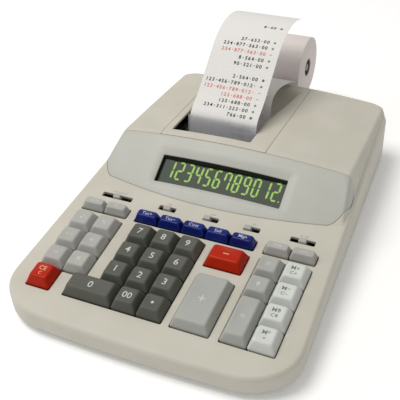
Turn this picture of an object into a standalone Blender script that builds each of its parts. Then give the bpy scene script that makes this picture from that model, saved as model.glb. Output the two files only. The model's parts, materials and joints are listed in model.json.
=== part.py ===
"""A printing desk calculator: a base tray and a top shell, a raised display fascia, sprung keys on a
sloped deck, slide switches, and a small printer fed from a paper roll held behind the case.

Frame: metres, +Z up, +Y from the keyboard to the paper roll, +X to the right. The origin is on the
table under the middle of the object. "Behind the key line" is a distance along +Y from the front
line of the key blocks, and the deck frame has its origin on the deck at that line, tilted with it.
"""

import math

import bmesh
import bpy
import numpy as np
from mathutils import Matrix, Vector
from mathutils.geometry import delaunay_2d_cdt

MM = 0.001
GAP = 0.3 * MM

# Deck
KEY_LINE_Y = -158.5 * MM
DECK_SLOPE = math.radians(6)
DECK_Z = 21.1 * MM

# Keys, in millimetres in the deck frame: (x, v) with v up the slope from the key line
UNIT = 19
BLOCK_DEPTH = 4 * UNIT
LEFT_X, DIGIT_X, BLUE_X, PLUS_X, RIGHT_X = -92.7, -62.6, -47.4, 19.6, 54.7
PLUS_WIDTH, PLUS_DEPTH = 28, 47
MINUS_V = (56.5, 75.1)
TOP_V = (80.7, 90.4)
TALL_CAP, MIDDLE_CAP, LOW_CAP = 7.5, 7, 6
CAP_MARGIN, CAP_WALL, CAP_SKIRT = 0.35, 1.3, 1.6
STEM_HALF, STEM_DEPTH = 2, 5.2

# Slide switches: each slot's ends along x, and where its knob rests as a share of the free travel
SLOT_V = (98.2, 103)
KNOB_WIDTH = 5.5
KNOB_TOP, KNOB_FOOT, KNOB_LOW = 2.2, 1.6, -5
SLOTS = {
    "knob_rounding": (-84.8, -59.1, 0.5),
    "knob_decimal": (-35.9, -21.9, 0.5),
    "knob_print": (0.8, 13.0, 0.0),
    "knob_grand_total": (33.0, 45.5, 0.0),
    "knob_mode": (68.5, 86.9, 0.5),
}

# Key mat and circuit board, as heights from the deck along its normal, and the board's bosses
MAT_TOP, MAT_LOW = -8.6 * MM, -9.8 * MM
BOARD_TOP, BOARD_LOW = -10.1 * MM, -11.7 * MM
BOSS_R = 3.5 * MM
BOSSES = [(x * MM, v * MM) for x in (-88, 0, 88) for v in (4, 96)]

# Plan of the case: straight sides that taper to the rear, a bowed front, round corners
HALF_WIDTH = 109.3 * MM
SIDE_TAPER = 0.047
CASE_FRONT = -24 * MM
CASE_REAR = 275 * MM
FRONT_BOW = 0.36
FRONT_CORNER_R = 36 * MM
REAR_CORNER_R = 16 * MM
WALL = 2 * MM
EDGE_R = 3 * MM
SKIRT_Z = 6 * MM

# Base tray and feet
BASE_Z = 2.5 * MM
BASE_TOP_Z = 12 * MM
BASE_INSET = WALL + GAP
FOOT_R = 7 * MM
FOOT_CHAMFER = 0.6 * MM
FEET = ((-84, 2), (84, 2), (-80, 252), (80, 252))
OUTLET_AT = (60 * MM, 20 * MM)
OUTLET_R = 4.5 * MM

# Hump behind the deck
SEAM_BACK = 111 * MM
SEAM_BOW = 1.2
FACE_SLOPE = math.radians(29)
FACE_TOP = 158.5 * MM
ROOF_Z = 59.6 * MM
ROOF_FALL = 0.062
ROOF_CROWN = 0.65
RIM_TOP = 42 * MM
LEDGE = 2.6 * MM
SIDE_DRAFT = math.radians(15)
SIDE_ROUND = 8 * MM

# Display
WINDOW_HALF = 51.5 * MM
WINDOW_LOW = 123.4 * MM
WINDOW_HIGH = 144 * MM
RECESS = 1.6 * MM
RECESS_MARGIN = (4.5 * MM, 2.5 * MM, 5 * MM)  # sides, bottom, top
PANE_T = 1.5 * MM
PANE_DEPTH = 6.2 * MM
TUBE_T = 6 * MM

# Printer bay, its cover and the paper
COVER_X = (-61 * MM, 28 * MM)
COVER_REAR = 270 * MM
BAY_X = (-55 * MM, 12.3 * MM)
BAY_BACK = (167 * MM, 216 * MM)
SCOOP_FRONT = 205 * MM
SCOOP_REAR = 266 * MM
SCOOP_FLOOR_Z = 44 * MM
COVER_T = 1.8 * MM
PAPER_X = (-45.5 * MM, 11.5 * MM)
PAPER_T = 0.3 * MM
TEAR_T = 1.2 * MM
PLATEN_AT = (190 * MM, 40 * MM)
PLATEN_X = (-54 * MM, 18 * MM)
PLATEN_R = 6.5 * MM
SHAFT_R = 2.5 * MM
SHAFT_REACH = 2.6 * MM
FRAME_BACK = (172 * MM, 203 * MM)
FRAME_Z = (8 * MM, 45 * MM)
FRAME_GAP, FRAME_WALL = 3 * MM, 2 * MM
ROLL_AT = (314 * MM, 49.1 * MM)
ROLL_R = 27 * MM
CORE_R = 6.2 * MM
AXLE_R = 5.2 * MM

COLOURS = {
    "case": ((0.60, 0.57, 0.50), 0.55),
    "fascia": ((0.50, 0.50, 0.47), 0.5),
    "dark_key": ((0.13, 0.13, 0.12), 0.6),
    "light_key": ((0.42, 0.42, 0.40), 0.6),
    "grey_key": ((0.36, 0.36, 0.34), 0.6),
    "white_key": ((0.65, 0.67, 0.65), 0.6),
    "blue_key": ((0.01, 0.02, 0.16), 0.45),
    "red_key": ((0.55, 0.04, 0.01), 0.5),
    "knob": ((0.45, 0.45, 0.42), 0.6),
    "pane": ((0.02, 0.04, 0.03), 0.1),
    "tube": ((0.02, 0.03, 0.03), 0.2),
    "smoked": ((0.12, 0.12, 0.13), 0.15),
    "paper": ((0.80, 0.79, 0.77), 0.85),
    "rubber": ((0.03, 0.03, 0.03), 0.9),
    "frame_metal": ((0.35, 0.35, 0.36), 0.4),
    "board": ((0.05, 0.16, 0.06), 0.5),
    "silicone": ((0.45, 0.45, 0.43), 0.8),
    "holder": ((0.30, 0.30, 0.29), 0.5),
}


def material(name):
    """The named Principled material, made the first time that it is asked for."""
    found = bpy.data.materials.get(name)
    if found:
        return found
    colour, roughness = COLOURS[name]
    made = bpy.data.materials.new(name)
    made.use_nodes = True
    shader = made.node_tree.nodes["Principled BSDF"]
    shader.inputs["Base Color"].default_value = (*colour, 1)
    shader.inputs["Roughness"].default_value = roughness
    shader.inputs["Metallic"].default_value = 0.8 if name == "frame_metal" else 0
    return made


def put(name, points, faces, finish, parent=None, at=(0, 0, 0)):
    """One named object from points and faces, its faces turned outwards."""
    mesh = bpy.data.meshes.new(name)
    mesh.from_pydata([tuple(map(float, p)) for p in points], [], faces)
    work = bmesh.new()
    work.from_mesh(mesh)
    bmesh.ops.recalc_face_normals(work, faces=work.faces)
    work.to_mesh(mesh)
    work.free()
    made = bpy.data.objects.new(name, mesh)
    made.data.materials.append(material(finish))
    made.parent = parent
    made.location = at
    bpy.context.scene.collection.objects.link(made)
    return made


def loft(name, rings, finish, parent=None, at=(0, 0, 0)):
    """A closed body through rings of equally many points, capped at both ends."""
    count = len(rings[0])
    points = [p for ring in rings for p in ring]
    faces = [tuple(range(count)), tuple(range(len(points) - count, len(points)))]
    for i in range(len(rings) - 1):
        for j in range(count):
            k = (j + 1) % count
            a, b = i * count, (i + 1) * count
            faces.append((a + j, a + k, b + k, b + j))
    return put(name, points, faces, finish, parent, at)


def corner_ring(low, high, z, cut):
    """An eight-point rectangle with its corners cut, at height z."""
    (x0, y0), (x1, y1) = low, high
    return [
        (x0 + cut, y0, z), (x1 - cut, y0, z), (x1, y0 + cut, z), (x1, y1 - cut, z),
        (x1 - cut, y1, z), (x0 + cut, y1, z), (x0, y1 - cut, z), (x0, y0 + cut, z),
    ]


def circle_ring(centre, radius, z, count):
    """Points round a circle in the XY plane at height z."""
    turns = [2 * math.pi * i / count for i in range(count)]
    return [(centre[0] + radius * math.cos(t), centre[1] + radius * math.sin(t), z) for t in turns]


def wheel_ring(at, radius, x, count):
    """Points round a circle about an axis along X, its centre given as (behind, height)."""
    turns = [2 * math.pi * i / count for i in range(count)]
    y, z = KEY_LINE_Y + at[0], at[1]
    return [(x, y + radius * math.cos(t), z + radius * math.sin(t)) for t in turns]


def cut_or_join(body, other, operation):
    """A Boolean on body. A cutter or a joined piece stays as a hidden wire."""
    tool = body.modifiers.new(operation.lower(), "BOOLEAN")
    tool.operation = operation
    tool.object = other
    tool.solver = "EXACT"
    other.hide_render = True
    other.display_type = "WIRE"


# ---- heights of the case, as functions of x and the distance behind the key line ----


def smooth_min(a, b, radius):
    """The lower of two heights, with their crossing rounded over this radius."""
    mix = np.clip(0.5 + 0.5 * (b - a) / radius, 0, 1)
    return b + (a - b) * mix - radius * mix * (1 - mix)


def half_width(back):
    return HALF_WIDTH - SIDE_TAPER * back


def deck_height(back):
    return DECK_Z + back * math.tan(DECK_SLOPE)


def rim_height(back):
    """The slab's top edge: the deck plane, levelled off towards the rear."""
    return smooth_min(deck_height(back), RIM_TOP + 0 * back, 4 * MM)


def seam_back(x):
    """Where the display face meets the deck, bowed back towards the sides."""
    return SEAM_BACK + SEAM_BOW * x**2


def face_height(x, back):
    rise = math.tan(FACE_SLOPE) - math.tan(DECK_SLOPE)
    return deck_height(back) + (back - seam_back(x)) * rise


def roof_height(x, back):
    return ROOF_Z - ROOF_FALL * (back - FACE_TOP) - ROOF_CROWN * x**2


def hump_height(x, back):
    """Display face, crowned roof and drafted side walls, rounded into each other."""
    side = rim_height(back) + (half_width(back) - LEDGE - np.abs(x)) / math.tan(SIDE_DRAFT)
    top = smooth_min(face_height(x, back), roof_height(x, back), 3 * MM)
    return smooth_min(top, side, SIDE_ROUND)


def skin_height(x, back):
    return np.maximum(rim_height(back), hump_height(x, back))


def recessed_height(x, back):
    """The display face with its shallow recess, deepest at the window's edge."""
    side, low, high = RECESS_MARGIN
    out = np.stack([
        (np.abs(x) - WINDOW_HALF) / side, (WINDOW_LOW - back) / low, (back - WINDOW_HIGH) / high
    ]).max(axis=0)
    return skin_height(x, back) - RECESS * np.clip(1 - out, 0, 1)


def cover_height(x, back):
    """The roof with the scoop that the paper web comes down, behind the printer bay."""
    right_top = 12.4 * MM + (back - SCOOP_FRONT) * 0.19
    right_floor = 12 * MM + (back - BAY_BACK[1]) * 0.04
    left_top = -56.5 * MM - (back - BAY_BACK[1]) * 0.08
    left_floor = -54 * MM + 0 * back
    ramp = np.minimum(
        np.clip((right_top - x) / np.maximum(right_top - right_floor, 0.1 * MM), 0, 1),
        np.clip((x - left_top) / (left_floor - left_top), 0, 1),
    )
    ramp = np.minimum(ramp, np.clip((SCOOP_REAR - back) / (10 * MM), 0, 1))
    ramp = np.where(back < SCOOP_FRONT, 0, ramp)
    floor = SCOOP_FLOOR_Z + (back - BAY_BACK[1]) * 0.05
    top = skin_height(x, back)
    return top - (top - floor) * ramp


def under(height, thick):
    """The inner skin below a height function: the lowest of its neighbours, less the wall."""
    def inner(x, back):
        shifts = ((thick, 0), (-thick, 0), (0, thick), (0, -thick))
        return np.min([height(x + a, back + b) for a, b in shifts], axis=0) - thick
    return inner


# ---- plan outlines, as rows of (x, behind the key line) ----


def rounded(corners, radii, step):
    """A closed outline through corners, each rounded to its radius, with points every step."""
    corners = [Vector(c) for c in corners]
    path = []
    for i, corner in enumerate(corners):
        before = (corners[i - 1] - corner).normalized()
        after = (corners[(i + 1) % len(corners)] - corner).normalized()
        half = before.angle(after) / 2
        if radii[i] <= 0:
            path.append(corner)
            continue
        reach = radii[i] / math.tan(half)
        centre = corner + (before + after).normalized() * radii[i] / math.sin(half)
        start, end = corner + before * reach - centre, corner + after * reach - centre
        pieces = max(2, round(start.angle(end) * radii[i] / step))
        for j in range(pieces + 1):
            t = j / pieces
            arm = start.lerp(end, t)
            path.append(centre + arm.normalized() * radii[i])
    out = []
    for a, b in zip(path, path[1:] + path[:1]):
        pieces = max(1, round((b - a).length / step))
        out += [tuple(a.lerp(b, j / pieces)) for j in range(pieces)]
    return np.array(out)


def inset(loop, depth):
    """A closed counter-clockwise outline moved inwards by depth along its corner bisectors."""
    ahead = np.roll(loop, -1, axis=0) - loop
    ahead /= np.linalg.norm(ahead, axis=1)[:, None]
    behind = np.roll(ahead, 1, axis=0)
    left = np.stack([-(ahead[:, 1] + behind[:, 1]), ahead[:, 0] + behind[:, 0]], axis=1)
    left /= np.linalg.norm(left, axis=1)[:, None]
    square = left[:, 0] * -ahead[:, 1] + left[:, 1] * ahead[:, 0]
    return loop + left * (depth / square)[:, None]


def rectangle(x, back, step=12 * MM):
    return rounded([(x[0], back[0]), (x[1], back[0]), (x[1], back[1]), (x[0], back[1])], [0] * 4, step)


def case_outline():
    wide, narrow = half_width(CASE_FRONT), half_width(CASE_REAR)
    loop = rounded(
        [(-wide, CASE_FRONT), (wide, CASE_FRONT), (narrow, CASE_REAR), (-narrow, CASE_REAR)],
        [FRONT_CORNER_R, FRONT_CORNER_R, REAR_CORNER_R, REAR_CORNER_R],
        12 * MM,
    )
    loop[:, 1] += FRONT_BOW * loop[:, 0] ** 2 * np.clip(loop[:, 1] / CASE_FRONT, 0, 1)
    return loop


def arc(centre, axes, first, last, count):
    """Points along an ellipse between two angles in degrees."""
    turns = np.radians(np.linspace(first, last, count))
    return np.stack([centre[0] + axes[0] * np.cos(turns), centre[1] + axes[1] * np.sin(turns)], axis=1)


def fascia_outline():
    """The bowed front seam, rounded ends, side edges along the hump's foot and a straight top."""
    bow_x, side_back, top_round = 86 * MM, 146 * MM, 9 * MM
    x = np.linspace(-bow_x, bow_x, 15)
    front = np.stack([x, seam_back(x)], axis=1)
    side_x = half_width(side_back) - LEDGE
    low = arc((bow_x, side_back), (side_x - bow_x, side_back - seam_back(bow_x)), -90, 0, 6)[1:]
    high_x = half_width(FACE_TOP) - LEDGE
    high = arc((high_x - top_round, FACE_TOP - top_round / 2), (top_round, top_round / 2), 0, 90, 4)
    right = np.concatenate([low, high])
    left = (right * (-1, 1))[::-1]
    return np.concatenate([front[1:-1], [front[-1]], right, left, [front[0]]])


def shell_opening():
    """The top shell's opening: the fascia's outline joined to the printer cover's."""
    loop = fascia_outline()
    top = np.flatnonzero(loop[:, 1] >= FACE_TOP - 0.01 * MM)
    x0, x1 = COVER_X[0] - GAP, COVER_X[1] + GAP
    back = np.linspace(FACE_TOP, COVER_REAR + GAP, 10)
    right = np.stack([np.full_like(back, x1), back], axis=1)
    across = np.stack([np.linspace(x1, x0, 8)[1:-1], np.full(6, COVER_REAR + GAP)], axis=1)
    left = np.stack([np.full_like(back, x0), back[::-1]], axis=1)
    return np.concatenate([loop[: top[0] + 1], right, across, left, loop[top[1]:]])


def deck_loop(points):
    """Deck-frame points (x, distance up the slope) as plan points."""
    loop = np.array(points, float) * MM
    loop[:, 1] *= math.cos(DECK_SLOPE)
    return rounded(loop, [0] * len(loop), 12 * MM)


def deck_rectangle(x0, x1, v0, v1):
    return deck_loop([(x0, v0), (x1, v0), (x1, v1), (x0, v1)])


# ---- bodies made from a plan and a height function ----


def inside(points, loop):
    """Which plan points lie inside a closed loop, by the even-odd rule."""
    x, y = points[:, 0, None], points[:, 1, None]
    x0, y0 = loop[:, 0], loop[:, 1]
    x1, y1 = np.roll(x0, -1), np.roll(y0, -1)
    crosses = (y0 > y) != (y1 > y)
    rise = np.where(y1 == y0, 1, y1 - y0)
    return (crosses & (x < x0 + (y - y0) * (x1 - x0) / rise)).sum(axis=1) % 2 == 1


def distance(points, line, closed=True):
    """Each plan point's distance to a line of points."""
    starts = line if closed else line[:-1]
    ends = np.roll(line, -1, axis=0) if closed else line[1:]
    along = ends - starts
    rel = points[:, None] - starts
    share = np.clip((rel * along).sum(axis=2) / (along**2).sum(axis=1), 0, 1)
    return np.linalg.norm(rel - share[..., None] * along, axis=2).min(axis=1)


def triangulate(loops, guides, spacing):
    """Constrained triangles over closed loops and open guides, with a grid of points between."""
    lines = [(loop, True) for loop in loops] + [(guide, False) for guide in guides]
    low, high = loops[0].min(axis=0), loops[0].max(axis=0)
    counts = np.maximum(2, np.round((high - low) / spacing).astype(int))
    axes = [np.linspace(low[i], high[i], counts[i] + 1)[1:-1] for i in (0, 1)]
    grid = np.stack(np.meshgrid(*axes), axis=-1).reshape(-1, 2)
    near = np.min([distance(grid, line, closed) for line, closed in lines], axis=0)
    grid = grid[inside(grid, loops[0]) & (near > 0.45 * spacing)]
    points, edges = [], []
    for line, closed in lines:
        first, count = len(points), len(line)
        points += [Vector(p / MM) for p in line]
        edges += [(first + i, first + (i + 1) % count) for i in range(count if closed else count - 1)]
    points += [Vector(p / MM) for p in grid]
    made = delaunay_2d_cdt(points, edges, [], 0, 1e-3)
    plan = np.array([tuple(p) for p in made[0]]) * MM
    faces = np.array(made[2])
    a, b, c = plan[faces[:, 0]], plan[faces[:, 1]], plan[faces[:, 2]]
    area = (b[:, 0] - a[:, 0]) * (c[:, 1] - a[:, 1]) - (b[:, 1] - a[:, 1]) * (c[:, 0] - a[:, 0])
    faces[area < 0] = faces[area < 0][:, ::-1]
    longest = np.max([np.linalg.norm(p - q, axis=1) for p, q in ((a, b), (b, c), (c, a))], axis=0)
    return plan, faces[np.abs(area) > longest * 0.002 * MM]


def directed_edges(faces):
    """Edges of triangles that no other triangle of the set shares."""
    edges = {}
    for a, b, c in faces:
        for edge in ((a, b), (b, c), (c, a)):
            edges[edge] = True
    return [edge for edge in edges if (edge[1], edge[0]) not in edges]


def skin_body(name, outline, holes, guides, heights, thick, spacing, finish, skirt=None):
    """A curved plate with walls down its edges. With a skirt (depth of wall, height of its foot)
    the outline's wall carries on down and the plate is hollow inside it."""
    loops = [outline, *holes]
    if skirt:
        loops.append(inset(outline, skirt[0]))
    plan, faces = triangulate(loops, guides, spacing)
    middle = plan[faces].mean(axis=1)
    keep = inside(middle, outline)
    for hole in holes:
        keep &= ~inside(middle, hole)
    faces, middle = faces[keep], middle[keep]
    hollow = inside(middle, loops[-1]) if skirt else np.full(len(faces), True)
    lean = thick * math.tan(DECK_SLOPE)
    x, back = plan[:, 0], plan[:, 1]
    top = heights(x, back)
    if skirt:
        edge = np.clip(EDGE_R - distance(plan, outline), 0, EDGE_R)
        top = top - (EDGE_R - np.sqrt(EDGE_R**2 - edge**2))
    low = under(heights, thick)(x, back + lean)
    foot = np.full_like(x, skirt[1] if skirt else 0)
    count = len(plan)
    y = KEY_LINE_Y + back
    levels = [(x, y, top), (x, y + lean, low), (x, y, foot)]
    points = np.concatenate([np.stack(level, axis=1) for level in levels])
    bodies = [tuple(f) for f in faces]
    bodies += [(c + count, b + count, a + count) for a, b, c in faces[hollow]]
    bodies += [(c + 2 * count, b + 2 * count, a + 2 * count) for a, b, c in faces[~hollow]]
    ring_edges = set(directed_edges(faces[~hollow]))
    for a, b in directed_edges(faces):
        drop = 2 * count if (a, b) in ring_edges else count
        bodies.append((b, a, a + drop, b + drop))
    outer = set(directed_edges(faces))
    for a, b in directed_edges(faces[hollow]):
        if (a, b) not in outer:
            bodies.append((b + count, a + count, a + 2 * count, b + 2 * count))
    used = sorted({i for face in bodies for i in face})
    renumber = {old: new for new, old in enumerate(used)}
    bodies = [tuple(renumber[i] for i in face) for face in bodies]
    return put(name, points[used], bodies, finish)


def tilted_plate(name, x, start, end, thick, finish):
    """A flat plate across X between two (behind, height) points, its thickness below the line."""
    along = Vector((end[0] - start[0], end[1] - start[1])).normalized()
    down = Vector((along.y, -along.x)) * thick
    corners = [start, end, (end[0] + down.x, end[1] + down.y), (start[0] + down.x, start[1] + down.y)]
    rings = [[(side, KEY_LINE_Y + b, z) for b, z in corners] for side in x]
    return loft(name, rings, finish)


def profile_plate(name, x, corners, finish):
    """A flat plate of this (behind, height) outline between two x positions."""
    rings = [[(side, KEY_LINE_Y + b * MM, z * MM) for b, z in corners] for side in x]
    return loft(name, rings, finish)


def ribbon(name, path, x, thick, finish):
    """A thin band across X whose middle follows (behind, height) points."""
    path = np.array(path)
    along = np.gradient(path, axis=0)
    along /= np.linalg.norm(along, axis=1)[:, None]
    side = np.stack([-along[:, 1], along[:, 0]], axis=1) * thick / 2
    rings = []
    for p, n in zip(path, side):
        front, rear = p - n, p + n
        rings.append([
            (x[0], KEY_LINE_Y + front[0], front[1]), (x[1], KEY_LINE_Y + front[0], front[1]),
            (x[1], KEY_LINE_Y + rear[0], rear[1]), (x[0], KEY_LINE_Y + rear[0], rear[1]),
        ])
    return loft(name, rings, finish)


def smooth_path(points, pieces):
    """A Catmull-Rom curve through points, with this many pieces between each two."""
    p = np.array([2 * np.array(points[0]) - points[1], *points, 2 * np.array(points[-1]) - points[-2]])
    t = np.linspace(0, 1, pieces, endpoint=False)[:, None]
    out = []
    for a, b, c, d in zip(p, p[1:], p[2:], p[3:]):
        out.append(0.5 * (2 * b + (c - a) * t + (2 * a - 5 * b + 4 * c - d) * t**2
                          + (3 * b - a - 3 * c + d) * t**3))
    return np.concatenate([*out, [points[-1]]])


# ---- keys and switches ----

KEYS = {}


def key_row(names, x, v0, v1, height, finish):
    """Keys side by side, one unit wide each."""
    for i, name in enumerate(names):
        KEYS[name] = (x + i * UNIT, x + (i + 1) * UNIT, v0, v1, height, finish)


def key_rows(rows, x, first, height, finish):
    """Rows of keys one unit deep, the first row at this many units up the slope."""
    for i, names in enumerate(rows, first):
        key_row(names, x, UNIT * i, UNIT * (i + 1), height, finish)


key_row(["key_clear"], LEFT_X, 0, UNIT, TALL_CAP, "red_key")
key_rows(
    [("key_shift", "key_multiply"), ("key_sign", "key_divide"), ("key_back", "key_percent")],
    LEFT_X, 1, MIDDLE_CAP, "light_key",
)
KEYS["key_0"] = (DIGIT_X, DIGIT_X + 2 * UNIT, 0, UNIT, TALL_CAP, "dark_key")
key_row(("key_00", "key_point"), DIGIT_X + 2 * UNIT, 0, UNIT, TALL_CAP, "dark_key")
key_rows([[f"key_{first + i}" for i in range(3)] for first in (1, 4, 7)],
         DIGIT_X + UNIT, 1, TALL_CAP, "dark_key")
KEYS["key_plus"] = (PLUS_X, PLUS_X + PLUS_WIDTH, 0, PLUS_DEPTH, TALL_CAP, "grey_key")
KEYS["key_minus"] = (PLUS_X, PLUS_X + PLUS_WIDTH, *MINUS_V, TALL_CAP, "red_key")
KEYS["key_total"] = (RIGHT_X, RIGHT_X + UNIT, 0, 2 * UNIT, TALL_CAP, "grey_key")
key_rows([["key_subtotal"], ["key_non_add"]], RIGHT_X, 2, TALL_CAP, "grey_key")
key_rows([["key_memory_total"], ["key_memory_subtotal"], ["key_memory_minus"], ["key_memory_plus"]],
         RIGHT_X + UNIT, 0, TALL_CAP, "white_key")
key_row(("key_rate", "key_exchange"), LEFT_X, *TOP_V, LOW_CAP, "light_key")
key_row(("key_tax_plus", "key_tax_minus", "key_cost", "key_sell", "key_margin"),
        BLUE_X, *TOP_V, LOW_CAP, "blue_key")
key_row(("key_count", "key_average"), RIGHT_X, *TOP_V, LOW_CAP, "light_key")

# The left block and the digit block share one opening: they meet at the double zero key's corner
KEY_OPENINGS = [
    deck_loop([
        (LEFT_X, 0), (LEFT_X + UNIT, 0), (LEFT_X + UNIT, UNIT), (DIGIT_X, UNIT), (DIGIT_X, 0),
        (DIGIT_X + BLOCK_DEPTH, 0), (DIGIT_X + BLOCK_DEPTH, BLOCK_DEPTH),
        (DIGIT_X + UNIT, BLOCK_DEPTH), (DIGIT_X + UNIT, UNIT),
        (LEFT_X + 2 * UNIT, UNIT), (LEFT_X + 2 * UNIT, BLOCK_DEPTH), (LEFT_X, BLOCK_DEPTH),
    ]),
    deck_rectangle(PLUS_X, PLUS_X + PLUS_WIDTH, 0, PLUS_DEPTH),
    deck_rectangle(PLUS_X, PLUS_X + PLUS_WIDTH, *MINUS_V),
    deck_rectangle(RIGHT_X, RIGHT_X + 2 * UNIT, 0, BLOCK_DEPTH),
    deck_rectangle(LEFT_X, LEFT_X + 2 * UNIT, *TOP_V),
    deck_rectangle(BLUE_X, BLUE_X + 5 * UNIT, *TOP_V),
    deck_rectangle(RIGHT_X, RIGHT_X + 2 * UNIT, *TOP_V),
]


def key_cap(name, size, parent):
    """A hollow cap with sloped sides, a shallow dished top and a square stem below."""
    x0, x1, v0, v1, height, finish = size
    half = ((x1 - x0) / 2 - CAP_MARGIN, (v1 - v0) / 2 - CAP_MARGIN)
    front, rear, side = (2.2, 0.9, 1.6) if height == LOW_CAP else (3.4, 2.4, 2.9)
    centre = ((x0 + x1) / 2 * MM, (v0 + v1) / 2 * MM, 0)
    ceiling = height - 2.2

    def ring(z, sides, fronts, rears, cut):
        low = ((-half[0] + sides) * MM, (-half[1] + fronts) * MM)
        high = ((half[0] - sides) * MM, (half[1] - rears) * MM)
        return corner_ring(low, high, z * MM, cut * MM)

    def stem(z):
        reach = STEM_HALF * MM
        return corner_ring((-reach, -reach), (reach, reach), z * MM, 0.5 * MM)

    rings = [
        stem(-STEM_DEPTH),
        stem(ceiling),
        ring(ceiling, side + CAP_WALL, front + CAP_WALL, rear + CAP_WALL, 0.4),
        ring(-CAP_SKIRT, CAP_WALL, CAP_WALL, CAP_WALL, 0.4),
        ring(-CAP_SKIRT, 0, 0, 0, 0.6),
        ring(1.2, 0, 0, 0, 0.6),
        ring(height - 0.4, side, front, rear, 1.2),
        ring(height, side + 0.6, front + 0.6, rear + 0.6, 1.0),
        ring(height - 0.3, side + 2.4, front + 2.2, rear + 2.0, 0.5),
    ]
    return loft(name, rings, finish, parent, centre)


def slide_knob(name, slot, parent):
    """A thumb piece in its slot, on a wider foot that keeps it under the deck."""
    x0, x1, rest = slot
    end_gap = GAP / MM
    free = x1 - x0 - KNOB_WIDTH - 2 * end_gap
    centre = (x0 + end_gap + KNOB_WIDTH / 2 + free * rest) * MM
    half_x, half_v = KNOB_WIDTH / 2, (SLOT_V[1] - SLOT_V[0]) / 2 - 0.4

    def ring(z, grow, cut):
        reach = ((half_x + grow) * MM, (half_v + grow) * MM)
        return corner_ring((-reach[0], -reach[1]), reach, z * MM, cut * MM)

    shoulder = -WALL / MM - 1.2
    rings = [ring(KNOB_LOW, KNOB_FOOT, 0.5), ring(shoulder, KNOB_FOOT, 0.5), ring(shoulder, 0, 0.3),
             ring(KNOB_TOP - 0.6, 0, 0.3), ring(KNOB_TOP, -0.5, 0.3)]
    return loft(name, rings, "knob", parent, (centre, (SLOT_V[0] + SLOT_V[1]) / 2 * MM, 0))


# ---- the assembly ----


def build_top_case(outline):
    """The one-piece top shell: deck, hump sides, roof, skirt and the cord outlet."""
    rim = np.linspace(165 * MM, 258 * MM, 10)
    foot_x = half_width(rim) - LEDGE
    guides = [np.stack([side * (foot_x - lean), rim], axis=1) for side in (-1, 1) for lean in (0, 4.5 * MM)]
    slots = [deck_rectangle(x0, x1, *SLOT_V) for x0, x1, _ in SLOTS.values()]
    holes = [*KEY_OPENINGS, *slots, shell_opening()]
    shell = skin_body("top_case", outline, holes, guides, skin_height, WALL, 13 * MM, "case",
                      (WALL, SKIRT_Z))
    x, z = OUTLET_AT
    turns = np.linspace(0, 2 * math.pi, 12, endpoint=False)
    rings = [[(x + OUTLET_R * math.cos(t), KEY_LINE_Y + CASE_REAR + reach, z + OUTLET_R * math.sin(t))
              for t in turns] for reach in (-8 * MM, 4 * MM)]
    cut_or_join(shell, loft("cord_outlet_cutter", rings, "case"), "DIFFERENCE")


def build_base_case(outline, deck):
    """The base tray with an upright lip, and bosses that carry the circuit board."""
    outer, inner = inset(outline, BASE_INSET), inset(outline, BASE_INSET + WALL)
    levels = [(inner, BASE_Z + WALL), (inner, BASE_TOP_Z), (outer, BASE_TOP_Z), (outer, BASE_Z)]
    tray = loft("base_case", [[(x, KEY_LINE_Y + b, z) for x, b in loop] for loop, z in levels], "case")
    slope = math.tan(DECK_SLOPE)
    for i, (x, v) in enumerate(BOSSES):
        top = deck.matrix_world @ Vector((x, v, BOARD_LOW - GAP))
        low_ring = circle_ring((top.x, top.y), BOSS_R, BASE_Z + WALL / 2, 8)
        top_ring = [(a, b, top.z + (b - top.y) * slope) for a, b, _ in low_ring]
        cut_or_join(tray, loft(f"boss_{i}", [low_ring, top_ring], "case"), "UNION")


def build_feet():
    """Round rubber feet with a small chamfer, just below the base."""
    for i, (x, back) in enumerate(FEET):
        at = (x * MM, KEY_LINE_Y + back * MM)
        profile = ((FOOT_R - FOOT_CHAMFER, 0), (FOOT_R, FOOT_CHAMFER), (FOOT_R, BASE_Z - GAP))
        loft(f"foot_{i + 1}", [circle_ring(at, r, z, 12) for r, z in profile], "rubber")


def build_keyboard(deck):
    """The key caps, the slide knobs, and the mat and board below them."""
    for name, size in KEYS.items():
        key_cap(name, size, deck)
    for name, slot in SLOTS.items():
        slide_knob(name, slot, deck)
    for name, x, v, low, top, finish in (
        ("main_board", 94 * MM, (-4 * MM, 106 * MM), BOARD_LOW, BOARD_TOP, "board"),
        ("dome_mat", 93.5 * MM, (-1 * MM, 92 * MM), MAT_LOW, MAT_TOP, "silicone"),
    ):
        loft(name, [corner_ring((-x, v[0]), (x, v[1]), z, 3 * MM) for z in (low, top)], finish, deck)


def build_display():
    """The fascia with its recessed window, and the pane and the tube behind it."""
    outline = inset(fascia_outline(), GAP)
    window = rectangle((-WINDOW_HALF, WINDOW_HALF), (WINDOW_LOW, WINDOW_HIGH), 10 * MM)
    side, low, high = RECESS_MARGIN
    recess_x = WINDOW_HALF + side
    recess = rectangle((-recess_x, recess_x), (WINDOW_LOW - low, WINDOW_HIGH + high), 10 * MM)
    guide = np.concatenate([recess, recess[:1]])
    skin_body("display_fascia", outline, [window], [guide], recessed_height, WALL, 9 * MM, "fascia")

    def below(back, depth):
        """A point at this depth under the display face on its middle line."""
        height = float(face_height(0, back)) - depth * math.cos(FACE_SLOPE)
        return back + depth * math.sin(FACE_SLOPE), height

    tube = PANE_DEPTH + PANE_T + 1 * MM
    tilted_plate("display_window", (-55 * MM, 55 * MM), below(119 * MM, PANE_DEPTH),
                 below(147 * MM, PANE_DEPTH), PANE_T, "pane")
    tilted_plate("display_tube", (-50 * MM, 50 * MM), below(121 * MM, tube), below(145 * MM, tube),
                 TUBE_T, "tube")


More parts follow.
